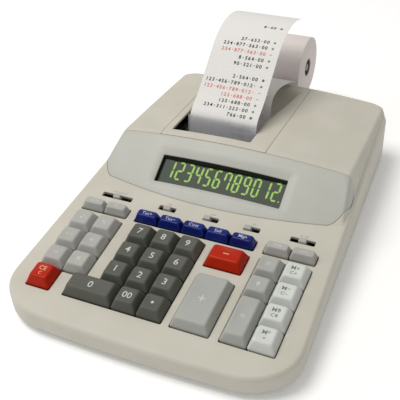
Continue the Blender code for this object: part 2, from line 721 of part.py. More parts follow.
def build_printer_cover():
    """The lift-off cover over the printer, with its bay and the scoop for the paper web."""
    outline = rectangle(COVER_X, (FACE_TOP + GAP, COVER_REAR), 11 * MM)
    bay = rectangle(BAY_X, BAY_BACK, 11 * MM)
    scoop_rim = [(12.3, 205.5), (14.5, 216), (24, 265.5), (-60.5, 265.5), (-56.5, 216), (-56, 206)]
    scoop_floor = [(12.3, 216.5), (13.6, 256), (-54, 256), (-54, 216.5)]
    guides = [np.array(line) * MM for line in (scoop_rim, scoop_floor)]
    skin_body("printer_cover", outline, [bay], guides, cover_height, COVER_T, 11 * MM, "case")


def paper_route():
    """The strip's middle line: off the roll, over in a loose arch, under the platen, up behind the
    tear window and over the printed loop to its cut end."""
    back, z = PLATEN_AT
    reach = PLATEN_R + PAPER_T / 2 + 0.8 * MM
    turns = np.radians([-25, -60, -95, -130, -165])
    around = [(back + reach * math.cos(t), z + reach * math.sin(t)) for t in turns]
    roll_back, roll_z = ROLL_AT
    leave, clear = math.radians(205), ROLL_R + PAPER_T / 2 + 0.35 * MM
    start = (roll_back + clear * math.cos(leave), roll_z + clear * math.sin(leave))
    loose = [(286, 45.5), (280, 52), (270, 57.5), (258, 62), (245, 66.5), (232, 69.3),
             (222.5, 68.6), (216.8, 64), (214.6, 57), (212.5, 50), (207, 42)]
    printed = [(181.6, 46), (182.2, 53), (182.6, 62), (185.5, 66.6), (193, 71.3), (203, 77.5),
               (218, 89), (236, 103), (251, 109.6), (267, 111.4), (280, 109.6), (291.5, 105.5)]
    web, strip = ([(p * MM, q * MM) for p, q in line] for line in (loose, printed))
    return smooth_path([start, *web, *around, *strip], 2)


def build_printer():
    """The tear window, the paper, the platen roller and the frame that its shaft turns in."""
    tilted_plate("tear_window", (-46.5 * MM, 11.8 * MM), (178.8 * MM, 46 * MM),
                 (180.9 * MM, 64.6 * MM), TEAR_T, "smoked")
    ribbon("paper_strip", paper_route(), PAPER_X, PAPER_T, "paper")

    back, z = PLATEN_AT
    x0, x1 = PLATEN_X
    steps = [(x0 - SHAFT_REACH, SHAFT_R), (x0, SHAFT_R), (x0, PLATEN_R), (x1, PLATEN_R),
             (x1, SHAFT_R), (x1 + SHAFT_REACH, SHAFT_R)]
    platen = loft("platen_roller", [wheel_ring((0, 0), r, x, 16) for x, r in steps], "rubber")
    platen.data.transform(Matrix.Translation((0, -KEY_LINE_Y, 0)))
    platen.location = (0, KEY_LINE_Y + back, z)

    low, high = FRAME_Z
    left, right = x0 - FRAME_GAP, x1 + FRAME_GAP
    channel = [
        (left, low), (right, low), (right, high), (right - FRAME_WALL, high),
        (right - FRAME_WALL, low + FRAME_WALL), (left + FRAME_WALL, low + FRAME_WALL),
        (left + FRAME_WALL, high), (left, high),
    ]
    frame = loft("printer_frame", [[(x, KEY_LINE_Y + b, h) for x, h in channel] for b in FRAME_BACK],
                 "frame_metal")
    bearing = loft("bearing_cutter", [wheel_ring(PLATEN_AT, SHAFT_R + 0.08 * MM, x, 16)
                                      for x in (left - MM, right + MM)], "frame_metal")
    cut_or_join(frame, bearing, "DIFFERENCE")


def build_roll():
    """The paper roll on its core, and the one-armed holder that carries it behind the case."""
    back, z = ROLL_AT
    x0, x1 = PAPER_X
    sides = 32
    profile = [(x0, CORE_R), (x0, ROLL_R), (x1, ROLL_R), (x1, CORE_R)]
    points = [p for x, r in profile for p in wheel_ring((0, 0), r, x, sides)]
    faces = []
    for i in range(len(profile)):
        a, c = i * sides, (i + 1) % len(profile) * sides
        for j in range(sides):
            k = (j + 1) % sides
            faces.append((a + j, a + k, c + k, c + j))
    roll = put("paper_roll", points, faces, "paper")
    roll.data.transform(Matrix.Translation((0, -KEY_LINE_Y, 0)))
    roll.location = (0, KEY_LINE_Y + back, z)

    arm_x = (x0 - 4.4 * MM, x0 - 1.4 * MM)
    outline = [(275.3, 18), (278.3, 18), (282, 24), (314, 40), (320, 43.5), (322, 49), (320, 54.6),
               (314.5, 57), (309, 55), (283, 40), (278.3, 44), (275.3, 44)]
    holder = profile_plate("roll_holder", arm_x, outline, "holder")
    turned = ((x0 - 3 * MM, AXLE_R), (x1 - 3 * MM, AXLE_R), (x1 - 2 * MM, AXLE_R - MM))
    axle = loft("roll_axle", [wheel_ring(ROLL_AT, r, x, 16) for x, r in turned], "holder")
    foot = profile_plate("holder_foot", (x0 - 14 * MM, x0 + 6 * MM),
                         [(275.31, 18.5), (278, 18.5), (278, 43.5), (275.31, 43.5)], "holder")
    cut_or_join(holder, axle, "UNION")
    cut_or_join(holder, foot, "UNION")


def main():
    for old in list(bpy.data.objects):
        bpy.data.objects.remove(old, do_unlink=True)
    deck = bpy.data.objects.new("deck_frame", None)
    deck.location = (0, KEY_LINE_Y, DECK_Z)
    deck.rotation_euler = (DECK_SLOPE, 0, 0)
    bpy.context.scene.collection.objects.link(deck)
    bpy.context.view_layer.update()
    outline = case_outline()
    build_top_case(outline)
    build_base_case(outline, deck)
    build_feet()
    build_keyboard(deck)
    build_display()
    build_printer_cover()
    build_printer()
    build_roll()


main()
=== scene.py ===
import json
import math

import bmesh
import bpy
import numpy as np
from mathutils import Matrix, Vector
from mathutils.geometry import delaunay_2d_cdt


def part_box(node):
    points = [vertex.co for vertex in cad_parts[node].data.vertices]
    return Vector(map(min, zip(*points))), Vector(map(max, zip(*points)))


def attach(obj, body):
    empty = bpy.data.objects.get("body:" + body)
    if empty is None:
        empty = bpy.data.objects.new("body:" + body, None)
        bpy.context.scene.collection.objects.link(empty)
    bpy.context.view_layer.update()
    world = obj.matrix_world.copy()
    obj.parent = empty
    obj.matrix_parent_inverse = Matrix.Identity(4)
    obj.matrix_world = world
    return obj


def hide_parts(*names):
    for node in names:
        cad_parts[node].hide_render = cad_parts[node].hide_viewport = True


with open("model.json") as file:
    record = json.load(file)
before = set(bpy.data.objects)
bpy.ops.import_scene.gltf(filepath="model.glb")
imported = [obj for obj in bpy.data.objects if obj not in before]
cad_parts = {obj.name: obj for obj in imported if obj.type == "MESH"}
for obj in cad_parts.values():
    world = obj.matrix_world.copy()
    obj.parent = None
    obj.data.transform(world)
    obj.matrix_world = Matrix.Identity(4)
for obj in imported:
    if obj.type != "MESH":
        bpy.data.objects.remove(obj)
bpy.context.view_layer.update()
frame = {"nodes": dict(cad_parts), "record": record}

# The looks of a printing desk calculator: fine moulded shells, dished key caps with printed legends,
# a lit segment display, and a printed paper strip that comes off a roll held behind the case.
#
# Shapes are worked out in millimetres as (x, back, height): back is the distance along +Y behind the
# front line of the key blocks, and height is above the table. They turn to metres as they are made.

MM = 0.001
GAP = 0.2  # between neighbouring mouldings

# Deck and plan of the case. The back of the roll is 341 mm behind the key line, which places it in the
# frame. Tapers are per millimetre back, and bows and crowns per square millimetre across.
KEY_LINE_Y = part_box("paper_roll")[1].y / MM - 341.0
DECK_SLOPE = math.radians(6)
DECK_Z = 21.1
HALF_WIDTH = 109.25
SIDE_TAPER = 0.047
CASE_FRONT, CASE_REAR = -24.0, 275.0
FRONT_BOW = 0.36 * MM
FRONT_CORNER_R, REAR_CORNER_R = 36, 16
WALL = 2.0
EDGE_R = 3.0
SKIRT_Z = 6.0
BASE_Z, BASE_TOP_Z = 2.5, 12.0
CORD_OUTLET_AT, CORD_OUTLET_R = (60, 20), 4.5  # (x, height) in the rear wall
BASE_SCREWS_AT = ((-92, 30), (92, 30), (-86, 225), (86, 225), (0, 40))

# Hump behind the deck
SEAM_BACK = 111.0
SEAM_BOW = 1.2 * MM
FACE_SLOPE = math.radians(29)
FACE_TOP = 158.5
ROOF_Z = 59.6
ROOF_FALL = 0.062
ROOF_CROWN = 0.65 * MM
RIM_TOP = 42.0
LEDGE = 2.6  # of rim that is left beside the hump
SIDE_DRAFT = math.radians(15)

# Display
WINDOW_HALF = 51.5
WINDOW_LOW, WINDOW_HIGH = 123.4, 144.0
RECESS = 1.6
RECESS_MARGIN = (4.5, 2.5, 5.0)  # sides, bottom, top
PANE_DEPTH = 6.2  # under the display face
PANE_FOOT = 119.0
COLLAR_DROP, COLLAR_SIDES = 0.45, (0.03, 0.28)  # its top under the face, its sides in from the opening
DIGIT_HEIGHT, DIGIT_WIDTH, DIGIT_PITCH = 15.8, 5.8, 7.95
BAR_WIDTH = 1.5
DIGITS = "123456789012"
LAST_DIGIT_RIGHT, DIGITS_FOOT = 47.2, 9.2
BAR_GAP, BAR_LEAN, BAR_LEVELS = 0.2, 0.03, (0.02, 0.12)  # levels are heights off the pane

# Printer cover, paper, roll and its holder, with (back, height) for what turns about X
COVER_X = (-61.0, 28.0)
COVER_REAR = 270.0
BAY_X, BAY_BACK = (-55.0, 12.3), (167.0, 216.0)
SCOOP_FRONT, SCOOP_REAR, SCOOP_FLOOR_Z = 205.0, 266.0, 44.0
PAPER_X = (-45.5, 11.5)
PAPER_T, ROUTE_T = 0.12, 0.3  # as seen, and as thick as the CAD sheet along the same route
PLATEN_AT, PLATEN_R, SHAFT_R = (190.0, 40.0), 6.5, 2.5
PLATEN_X = (-54.0, 18.0)
ROLL_AT, ROLL_R = (314.0, 49.1), 27.0
WHEELS_AT, INK_ROLLER_AT = (177.2, 38), (177.2, 28)
WHEEL_PITCH, WHEELS = 3.2, 14
ARM_CLEARANCE, ARM_T = 1.4, 3.0
PLATE_BACK = (275.32, 278.0)
CORE_R, CORE_HOLE_R, AXLE_R = 8.0, 6.8, 5.2
ROW_PITCH, FIRST_ROW = 5.55, 23.3  # measured up the strip from the platen
FIGURE_PITCH, FIGURES_RIGHT, SIGN_X = 2.75, -0.4, 5.2

# Key caps: their margin all round, how far each kind's sides lean in (side, front, rear), and the
# shoulder's radius with the dish's depth. The slender kind is less deep than the size given.
CAP_MARGIN = 0.35
CAP_SLOPES = {"slender": (1.6, 2.2, 0.9), "full": (2.7, 3.2, 2.2)}
CAP_EDGES = {"slender": (0.7, 0.25), "full": (1.2, 0.5)}
SLENDER_BELOW = 15
INK_LIFT = 0.03

# Slide switches: how far up the deck their slots are, and each slot's two ends
SLOT_V = (98.2, 103.0)
SLOTS = {
    "knob_rounding": (-84.8, -59.1), "knob_decimal": (-35.9, -21.9), "knob_print": (0.8, 13.0),
    "knob_grand_total": (33.0, 45.5), "knob_mode": (68.5, 86.9),
}


# ---- materials ----


def linear(code):
    """A linear colour with alpha 1 from an sRGB hex code."""
    values = [int(code[i:i + 2], 16) / 255 for i in (1, 3, 5)]
    return (*[v / 12.92 if v <= 0.04045 else ((v + 0.055) / 1.055) ** 2.4 for v in values], 1)


def add(tree, kind, inputs=None, **settings):
    """Adds a node, with settings on the node and values or links on its inputs."""
    made = tree.nodes.new(kind)
    for key, value in settings.items():
        setattr(made, key, value)
    for key, value in (inputs or {}).items():
        if isinstance(value, bpy.types.NodeSocket):
            tree.links.new(value, made.inputs[key])
        else:
            made.inputs[key].default_value = value
    return made


def surface(name, **values):
    """A material with its Principled shader's sockets set, and its tree, shader and coordinates."""
    made = bpy.data.materials.new(name)
    made.use_nodes = True
    tree = made.node_tree
    shader = tree.nodes["Principled BSDF"]
    for key, value in values.items():
        shader.inputs[key.replace("_", " ")].default_value = value
    return made, tree, shader, add(tree, "ShaderNodeTexCoord").outputs["Object"]


def mottled(tree, shader, where, patch_mm, low, high, detail=2.0):
    """Colour that wanders between two hex codes in patches about this many millimetres across: noise,
    with the whole change made over the middle 40 per cent of its range. Gives the pattern and colour."""
    patches = add(tree, "ShaderNodeTexNoise",
                  {"Vector": where, "Scale": 1 / (patch_mm * MM), "Detail": detail}).outputs["Fac"]
    ramp = add(tree, "ShaderNodeValToRGB", {"Fac": patches})
    for element, place, code in zip(ramp.color_ramp.elements, (0.3, 0.7), (low, high)):
        element.position, element.color = place, linear(code)
    tree.links.new(ramp.outputs["Color"], shader.inputs["Base Color"])
    return patches, ramp.outputs["Color"]


def textured(tree, shader, where, grain_mm, detail, rough=None, depth_mm=None, strength=1.0):
    """One noise of this grain that drives roughness between two values, a bump this deep, or both."""
    grain = add(tree, "ShaderNodeTexNoise",
                {"Vector": where, "Scale": 1 / (grain_mm * MM), "Detail": detail}).outputs["Fac"]
    if rough:
        spread = add(tree, "ShaderNodeMapRange", {"Value": grain, "To Min": rough[0], "To Max": rough[1]})
        tree.links.new(spread.outputs["Result"], shader.inputs["Roughness"])
    if depth_mm:
        bump = add(tree, "ShaderNodeBump", {"Height": grain, "Distance": depth_mm * MM, "Strength": strength})
        tree.links.new(bump.outputs["Normal"], shader.inputs["Normal"])


def moulded(name, low, high, gloss, grain_mm, depth_mm, shine=0.3):
    """Injection-moulded plastic: colour that drifts a little over centimetres, as pigment does, and a
    fine eroded grain from the mould. The real grain is about 0.1 mm, and it is drawn three to six
    times as coarse so that it shows."""
    made, tree, shader, where = surface(name, Specular_IOR_Level=shine)
    mottled(tree, shader, where, 28, low, high)
    textured(tree, shader, where, grain_mm, 3, (gloss - 0.05, gloss + 0.07), depth_mm, 0.6)
    return made


def printed_ink(name, code, gloss=0.5):
    """Pad-printed ink: an even film with a faint mottle, 12 per cent darker where it lies thin."""
    made, tree, shader, where = surface(name, Roughness=gloss)
    thin = "#" + "".join(f"{int(int(code[i:i + 2], 16) * 0.88):02X}" for i in (1, 3, 5))
    mottled(tree, shader, where, 0.5, thin, code)
    return made


def bond_paper(name, low, high, rings_about=None):
    """Uncoated adding-machine paper: matt, a slight fibre mottle and tooth. Wound on a roll, its end
    faces show the layers as fine rings, drawn about ten times as coarse as the paper is thick."""
    made, tree, shader, where = surface(name, Roughness=0.85, Sheen_Weight=0.08)
    height, colour = mottled(tree, shader, where, 1.2, low, high, 6)
    if rings_about:
        centred = add(tree, "ShaderNodeMapping", {
            "Vector": where, "Location": (0, *[-c for c in rings_about]), "Scale": (0, 1, 1)})
        wave = add(tree, "ShaderNodeTexWave", {
            "Vector": centred.outputs["Vector"], "Scale": 0.5 / (1.1 * MM), "Distortion": 0.6, "Detail": 1.0,
        }, wave_type="RINGS", rings_direction="SPHERICAL")
        height = wave.outputs["Fac"]
        # A Mix node's colours are its inputs 6 and 7 and its output 2
        shade = add(tree, "ShaderNodeMix", {0: 0.10, 6: colour, 7: wave.outputs["Color"]},
                    data_type="RGBA", blend_type="MULTIPLY")
        tree.links.new(shade.outputs[2], shader.inputs["Base Color"])
    bump = add(tree, "ShaderNodeBump", {"Height": height, "Distance": 0.03 * MM, "Strength": 0.5})
    tree.links.new(bump.outputs["Normal"], shader.inputs["Normal"])
    return made


def tinted_filter(name):
    """Cast acrylic display filter: near-black green and polished, with a hint of wave in its
    reflection."""
    made, tree, shader, where = surface(name, Roughness=0.2, IOR=1.49, Specular_IOR_Level=0.12)
    mottled(tree, shader, where, 30, "#263421", "#2D3C2E")
    textured(tree, shader, where, 9, 2.0, depth_mm=0.02)
    return made


def lit_segment(name):
    """Phosphor seen through a green filter: bars that glow yellow-green, a little unevenly."""
    made, tree, shader, where = surface(name, Roughness=0.4, Emission_Strength=0.22)
    colour = mottled(tree, shader, where, 2.5, "#72A30A", "#85B122")[1]
    tree.links.new(colour, shader.inputs["Emission Color"])
    return made


def smoked_clear(name):
    """Smoked polystyrene: part see-through grey with a slight violet cast and fine moulding haze. The grey is
    painted light: its colour is near white rather than smoked, to stand in for light falling on the plate
    from the front.
    """
    made, tree, shader, where = surface(name, IOR=1.5, Alpha=0.34)
    mottled(tree, shader, where, 20, "#E2E2EA", "#EAEAF0")
    textured(tree, shader, where, 1.5, 2.0, rough=(0.12, 0.22))
    return made


def vulcanised(name, code="#1B1B1A"):
    """Black rubber or foam, ground to shape: matt, with a fine gritty surface."""
    made, tree, shader, where = surface(name, IOR=1.52)
    mottled(tree, shader, where, 0.35, "#141413", code, 4)
    textured(tree, shader, where, 0.35, 4, (0.6, 0.9), 0.03)
    return made


def plated_steel(name):
    """Zinc-plated sheet: metal with a faint crystalline patchwork and rolling lines along X, which are
    drawn a few times as coarse as real ones."""
    made, tree, shader, where = surface(name, Metallic=1.0)
    stretched = add(tree, "ShaderNodeMapping", {"Vector": where, "Scale": (0.08, 1, 1)}).outputs["Vector"]
    mottled(tree, shader, where, 4, "#8E8F90", "#A5A6A6")
    textured(tree, shader, stretched, 0.3, 3, rough=(0.28, 0.45))
    return made


MATERIALS = {
    # Deck, skirt, base and cover: warm grey, soft satin with no sharp highlights
    "case": moulded("abs_case_warm_grey", "#C3BFB2", "#C9C5B9", 0.55, 0.45, 0.025),
    "cover": moulded("abs_cover_warm_grey", "#C3BEB1", "#C9C4B8", 0.55, 0.45, 0.025),
    # Display surround: cooler, smoother and a little glossier than the case round it
    "fascia": moulded("abs_fascia_cool_grey", "#B4B4AC", "#BABAB3", 0.42, 0.6, 0.012),
    # Key caps: a fine silky grain, and the coloured ones glossier than the greys
    "dark_key": moulded("abs_key_charcoal", "#55564F", "#5C5D56", 0.55, 0.3, 0.012, 0.25),
    "light_key": moulded("abs_key_light_grey", "#A9A8A3", "#B0AFAA", 0.55, 0.3, 0.012, 0.25),
    "grey_key": moulded("abs_key_mid_grey", "#A6A7A2", "#ACADA8", 0.55, 0.3, 0.012, 0.25),
    "white_key": moulded("abs_key_white", "#CBCEC9", "#D3D6D1", 0.5, 0.3, 0.012, 0.25),
    "blue_key": moulded("abs_key_navy", "#071A66", "#0A2075", 0.3, 0.3, 0.006, 0.3),
    "red_key": moulded("abs_key_red", "#AE2004", "#B62605", 0.36, 0.3, 0.006, 0.15),
    "knob": moulded("abs_knob_grey", "#B5B4AE", "#BFBEB8", 0.5, 0.3, 0.015),
    # Dark mouldings that only show as depth behind openings. The collar's near-black is painted shade: a
    # lining that stands in for the shadow on the display window's walls. The black moulding is the real tube,
    # switch feet and slot beds.
    "collar": moulded("painted_shade_green_black", "#1D2420", "#232A26", 0.5, 0.4, 0.02),
    "dark_plastic": moulded("abs_black", "#24231F", "#2C2A26", 0.5, 0.4, 0.02),
    # Slippery bearing plastic: white, waxy and smooth
    "lever": moulded("acetal_white", "#DCDAD2", "#E4E2DB", 0.35, 0.5, 0.01),
    "holder": moulded("abs_holder_grey", "#8C8B84", "#949389", 0.5, 0.4, 0.02),
    "core": moulded("polystyrene_core", "#6A655C", "#757066", 0.55, 0.6, 0.03),
    "pane": tinted_filter("acrylic_green_filter"),
    "segment": lit_segment("phosphor_lit"),
    # Tear plate: its near-white colour is painted light, standing in for light on it from the front
    "smoked": smoked_clear("smoked_polystyrene_painted_light"),
    "paper": bond_paper("bond_paper", "#DEDCD8", "#E5E3E0"),
    "roll": bond_paper("bond_paper_wound", "#E2D9D6", "#E8DFDC",
                       ((KEY_LINE_Y + ROLL_AT[0]) * MM, ROLL_AT[1] * MM)),
    "rubber": vulcanised("rubber_black"),
    "ink_felt": vulcanised("ink_roller_foam", "#2A2233"),
    "steel": plated_steel("zinc_plated_steel"),
    # Inside: laminate board under a green resist, and the matt mat of rubber springs
    "board": moulded("glass_epoxy_green", "#1F4A2B", "#265634", 0.4, 0.8, 0.02),
    "silicone": moulded("silicone_mat_charcoal", "#34332F", "#3C3B36", 0.7, 0.5, 0.02),
    # Legends stand off the caps by low contrast, except white on the charcoal keys
    "white_ink": printed_ink("ink_white", "#CFD0CC"),
    "grey_ink": printed_ink("ink_grey", "#70746F"),
    "pale_ink": printed_ink("ink_pale", "#D2D2CD"),
    "sky_ink": printed_ink("ink_pale_blue", "#C3CCEA"),
    "orange_ink": printed_ink("ink_pale_orange", "#F6B083"),
    "deck_ink": printed_ink("ink_deck_grey", "#8F8D86"),
    # Ribbon ink soaked into paper: flat, and the red faded
    "black_ink": printed_ink("ink_ribbon_black", "#161618", 0.8),
    "red_ink": printed_ink("ink_ribbon_red", "#E0766E", 0.8),
}


# ---- making pieces ----


def solid(name, points, faces):
    """An object from points in millimetres (x, back, height), its closed surface turned outwards."""
    points = np.array(points, float) * MM
    points[:, 1] += KEY_LINE_Y * MM
    mesh = bpy.data.meshes.new(name)
    mesh.from_pydata(points.tolist(), [], faces)
    work = bmesh.new()
    work.from_mesh(mesh)
    bmesh.ops.recalc_face_normals(work, faces=work.faces)
    if work.calc_volume(signed=True) < 0:
        bmesh.ops.reverse_faces(work, faces=work.faces)
    work.to_mesh(mesh)
    work.free()
    made = bpy.data.objects.new(name, mesh)
    bpy.context.scene.collection.objects.link(made)
    return made


def piece(name, points, faces, finish, body="root", slot=None, stands_for=(), crease=38, cutter=None):
    """One finished piece: smooth except at edges sharper than the crease angle, with its material, body and
    the CAD nodes that it stands for; its slot is not used. A cutter is an object taken away from it."""
    made = solid(name, points, faces)
    if cutter:
        cut = made.modifiers.new("cut", "BOOLEAN")
        cut.object = cutter
        cut.solver = "EXACT"
        bpy.context.view_layer.update()
        made.data = bpy.data.meshes.new_from_object(made.evaluated_get(bpy.context.evaluated_depsgraph_get()))
        made.modifiers.clear()
        bpy.data.objects.remove(cutter)
    made.data.shade_smooth()
    made.data.set_sharp_from_angle(angle=math.radians(crease))
    made.data.materials.clear()
    made.data.materials.append(MATERIALS[finish])
    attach(made, body)
    if stands_for:
        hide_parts(*stands_for)
    return made


def skin_of_rings(rings, closed=False):
    """Points and faces of quads between rings of equally many points. Closed joins the last ring to
    the first, and otherwise each end is a fan about its middle."""
    rings = np.asarray(rings, float)
    count, around = rings.shape[:2]
    i, j = np.meshgrid(np.arange(count if closed else count - 1), np.arange(around), indexing="ij")
    after, beyond = (j + 1) % around, (i + 1) % count
    quads = np.stack([i * around + j, i * around + after, beyond * around + after, beyond * around + j],
                     axis=-1).reshape(-1, 4).tolist()
    points = rings.reshape(-1, 3)
    if closed:
        return points, quads
    ends = np.stack([rings[0].mean(axis=0), rings[-1].mean(axis=0)])
    turn, start = np.arange(around), (count - 1) * around
    first = np.stack([np.full(around, len(points)), (turn + 1) % around, turn], axis=1)
    last = np.stack([np.full(around, len(points) + 1), start + turn, start + (turn + 1) % around], axis=1)
    return np.concatenate([points, ends]), quads + first.tolist() + last.tolist()


def turned_x(profile, at, around=64):
    """Rings about an axis along X at (back, height): a profile of (x, radius) turned full circle."""
    turn = np.linspace(0, 2 * math.pi, around, endpoint=False)
    x, r = np.array(profile, float).T[:, :, None]
    return np.stack([x + 0 * turn, at[0] + r * np.cos(turn), at[1] + r * np.sin(turn)], axis=-1)


def turned_z(profile, at, around=48):
    """Rings about an upright axis at (x, back): a profile of (height, radius) turned full circle."""
    turn = np.linspace(0, 2 * math.pi, around, endpoint=False)
    z, r = np.array(profile, float).T[:, :, None]
    return np.stack([at[0] + r * np.cos(turn), at[1] + r * np.sin(turn), z + 0 * turn], axis=-1)


def fillet(radius, pieces=4):
    """Insets and drops along a quarter circle from the top face to the side."""
    turn = np.linspace(0, math.pi / 2, pieces + 1)
    return np.stack([radius * (1 - np.sin(turn)), radius * (1 - np.cos(turn))], axis=1)


# ---- heights of the case over its plan ----


def smooth_min(a, b, radius):
    """The lower of two heights, with their crossing rounded over this radius."""
    mix = np.clip(0.5 + 0.5 * (b - a) / radius, 0, 1)
    return b + (a - b) * mix - radius * mix * (1 - mix)


def half_width(back):
    """Half the case's width, which shrinks by the taper for each millimetre back."""
    return HALF_WIDTH - SIDE_TAPER * back


def deck_height(back):
    """A plane that rises at the deck's slope from the key line."""
    return DECK_Z + back * math.tan(DECK_SLOPE)


def rim_height(back):
    """The deck's plane until it levels off beside the hump, its bend rounded over 4 mm."""
    return smooth_min(deck_height(back), RIM_TOP + 0 * back, 4)


def seam_back(x):
    """Where the display face meets the deck: a parabola that bows back towards the sides."""
    return SEAM_BACK + SEAM_BOW * x**2


def face_height(x, back):
    """The display face: the deck's height plus the extra rise of the face behind the seam."""
    rise = math.tan(FACE_SLOPE) - math.tan(DECK_SLOPE)
    return deck_height(back) + (back - seam_back(x)) * rise


def skin_height(x, back):
    """The slab's deck and rim, or the hump over it: display face, crowned roof and drafted sides,
    rounded into each other."""
    roof = ROOF_Z - ROOF_FALL * (back - FACE_TOP) - ROOF_CROWN * x**2
    side = rim_height(back) + (half_width(back) - LEDGE - np.abs(x)) / math.tan(SIDE_DRAFT)
    hump = smooth_min(smooth_min(face_height(x, back), roof, 3), side, 8)
    return np.maximum(rim_height(back), hump)


def recessed_height(x, back):
    """The display face with its shallow recess, deepest at the window's edge."""
    side, low, high = RECESS_MARGIN
    out = np.stack([(np.abs(x) - WINDOW_HALF) / side, (WINDOW_LOW - back) / low,
                    (back - WINDOW_HIGH) / high]).max(axis=0)
    return skin_height(x, back) - RECESS * np.clip(1 - out, 0, 1)


def cover_height(x, back):
    """The roof with the scoop that the paper web comes down: the scoop's side and rear ramps are
    shares from 0 to 1, of which the least is eased in and out and lowers the roof to the floor."""
    behind_bay = back - BAY_BACK[1]
    right_top, right_floor = 12.4 + (back - SCOOP_FRONT) * 0.19, 12 + behind_bay * 0.04
    left_top, left_floor = -56.5 - behind_bay * 0.08, -54
    ramp = np.minimum(
        np.clip((right_top - x) / np.maximum(right_top - right_floor, 0.1), 0, 1),
        np.clip((x - left_top) / (left_floor - left_top), 0, 1),
    )
    ramp = np.minimum(ramp, np.clip((SCOOP_REAR - back) / 10, 0, 1))
    ramp = np.where(back < SCOOP_FRONT, 0, ramp * ramp * (3 - 2 * ramp))
    floor = SCOOP_FLOOR_Z + behind_bay * 0.05
    top = skin_height(x, back)
    return top - (top - floor) * ramp


# ---- outlines in plan ----


def rounded(corners, radii, step=4.0, arc_step=0.0):
    """A closed outline through corners rounded to their radii, with a point every step."""
    corners = [Vector(c) for c in corners]
    path = []
    for i, corner in enumerate(corners):
        before = (corners[i - 1] - corner).normalized()
        after = (corners[(i + 1) % len(corners)] - corner).normalized()
        half = before.angle(after) / 2
        if radii[i] <= 0:
            path.append(corner)
            continue
        reach = radii[i] / math.tan(half)
        centre = corner + (before + after).normalized() * radii[i] / math.sin(half)
        start, end = corner + before * reach - centre, corner + after * reach - centre
        pieces = max(3, round(start.angle(end) * radii[i] / (arc_step or step)))
        path += [centre + start.slerp(end, j / pieces) * radii[i] for j in range(pieces + 1)]
    out = []
    for a, b in zip(path, path[1:] + path[:1]):
        pieces = max(1, round((b - a).length / step))
        out += [tuple(a.lerp(b, j / pieces)) for j in range(pieces)]
    return np.array(out)


def inset(loop, depth):
    """A closed counter-clockwise outline moved inwards by depth along its corner bisectors."""
    ahead = np.roll(loop, -1, axis=0) - loop
    ahead /= np.linalg.norm(ahead, axis=1)[:, None]
    behind = np.roll(ahead, 1, axis=0)
    left = np.stack([-(ahead[:, 1] + behind[:, 1]), ahead[:, 0] + behind[:, 0]], axis=1)
    left /= np.linalg.norm(left, axis=1)[:, None]
    square = left[:, 0] * -ahead[:, 1] + left[:, 1] * ahead[:, 0]
    return loop + left * (depth / square)[:, None]


def rectangle(x, back, radius=0.8, step=4.0):
    """A rectangle between two x and two back values, its corners rounded."""
    return rounded([(x[0], back[0]), (x[1], back[0]), (x[1], back[1]), (x[0], back[1])],
                   [radius] * 4, step)


def window_outline():
    """The display window's opening, its corners barely rounded."""
    return rectangle((-WINDOW_HALF, WINDOW_HALF), (WINDOW_LOW, WINDOW_HIGH), 0.6, 3)


def case_outline():
    """Straight tapered sides, round corners and a front edge that bows out in the middle."""
    wide, narrow = half_width(CASE_FRONT), half_width(CASE_REAR)
    loop = rounded(
        [(-wide, CASE_FRONT), (wide, CASE_FRONT), (narrow, CASE_REAR), (-narrow, CASE_REAR)],
        [FRONT_CORNER_R, FRONT_CORNER_R, REAR_CORNER_R, REAR_CORNER_R], 5, 2,
    )
    loop[:, 1] += FRONT_BOW * loop[:, 0] ** 2 * np.clip(loop[:, 1] / CASE_FRONT, 0, 1)
    return loop


def arc(centre, axes, first, last, count):
    """Points on an ellipse about a centre, between two angles in degrees."""
    turns = np.radians(np.linspace(first, last, count))
    return np.stack([centre[0] + axes[0] * np.cos(turns), centre[1] + axes[1] * np.sin(turns)], axis=1)


def fascia_outline():
    """The bowed front seam, rounded ends, side edges along the hump's foot and a straight top."""
    bow_x, side_back, top_round = 86.0, 146.0, 9.0
    x = np.linspace(-bow_x, bow_x, 45)
    front = np.stack([x, seam_back(x)], axis=1)
    side_x = half_width(side_back) - LEDGE
    low = arc((bow_x, side_back), (side_x - bow_x, side_back - seam_back(bow_x)), -90, 0, 22)[1:]
    high_x = half_width(FACE_TOP) - LEDGE
    high = arc((high_x - top_round, FACE_TOP - top_round / 2), (top_round, top_round / 2), 0, 90, 10)
    across = np.linspace(high_x - top_round, top_round - high_x, 45)[1:-1]
    top = np.stack([across, np.full_like(across, FACE_TOP)], axis=1)
    right = np.concatenate([low, high])
    return np.concatenate([front, right, top, (right * (-1, 1))[::-1]])


def shell_opening():
    """The top shell's opening: the fascia's outline joined to the printer cover's."""
    loop = fascia_outline()
    x0, x1 = COVER_X[0] - GAP, COVER_X[1] + GAP
    on_top = loop[:, 1] > FACE_TOP - 0.01
    cut = on_top & (loop[:, 0] > x0 + 1) & (loop[:, 0] < x1 - 1)
    first, last = np.flatnonzero(cut)[[0, -1]]
    back = np.linspace(FACE_TOP, COVER_REAR + GAP, 28)
    across = np.linspace(x1, x0, 23)[1:-1]
    right = np.stack([np.full_like(back, x1), back], axis=1)
    rear = np.stack([across, np.full_like(across, COVER_REAR + GAP)], axis=1)
    left = np.stack([np.full_like(back, x0), back[::-1]], axis=1)
    return np.concatenate([loop[:first], right, rear, left, loop[last + 1:]])


def deck_loop(points, radius=0.8):
    """Deck-frame points (x, distance up the slope) as a plan loop with small corner radii."""
    loop = [(x, v * math.cos(DECK_SLOPE)) for x, v in points]
    return rounded(loop, [radius] * len(loop), 4)


def deck_rectangle(x0, x1, v0, v1):
    """A rectangle on the deck, from x0 to x1 and from v0 to v1 up the slope."""
    return deck_loop([(x0, v0), (x1, v0), (x1, v1), (x0, v1)])


# ---- shells: a triangulated plan raised to a height function, with walls down its edges ----


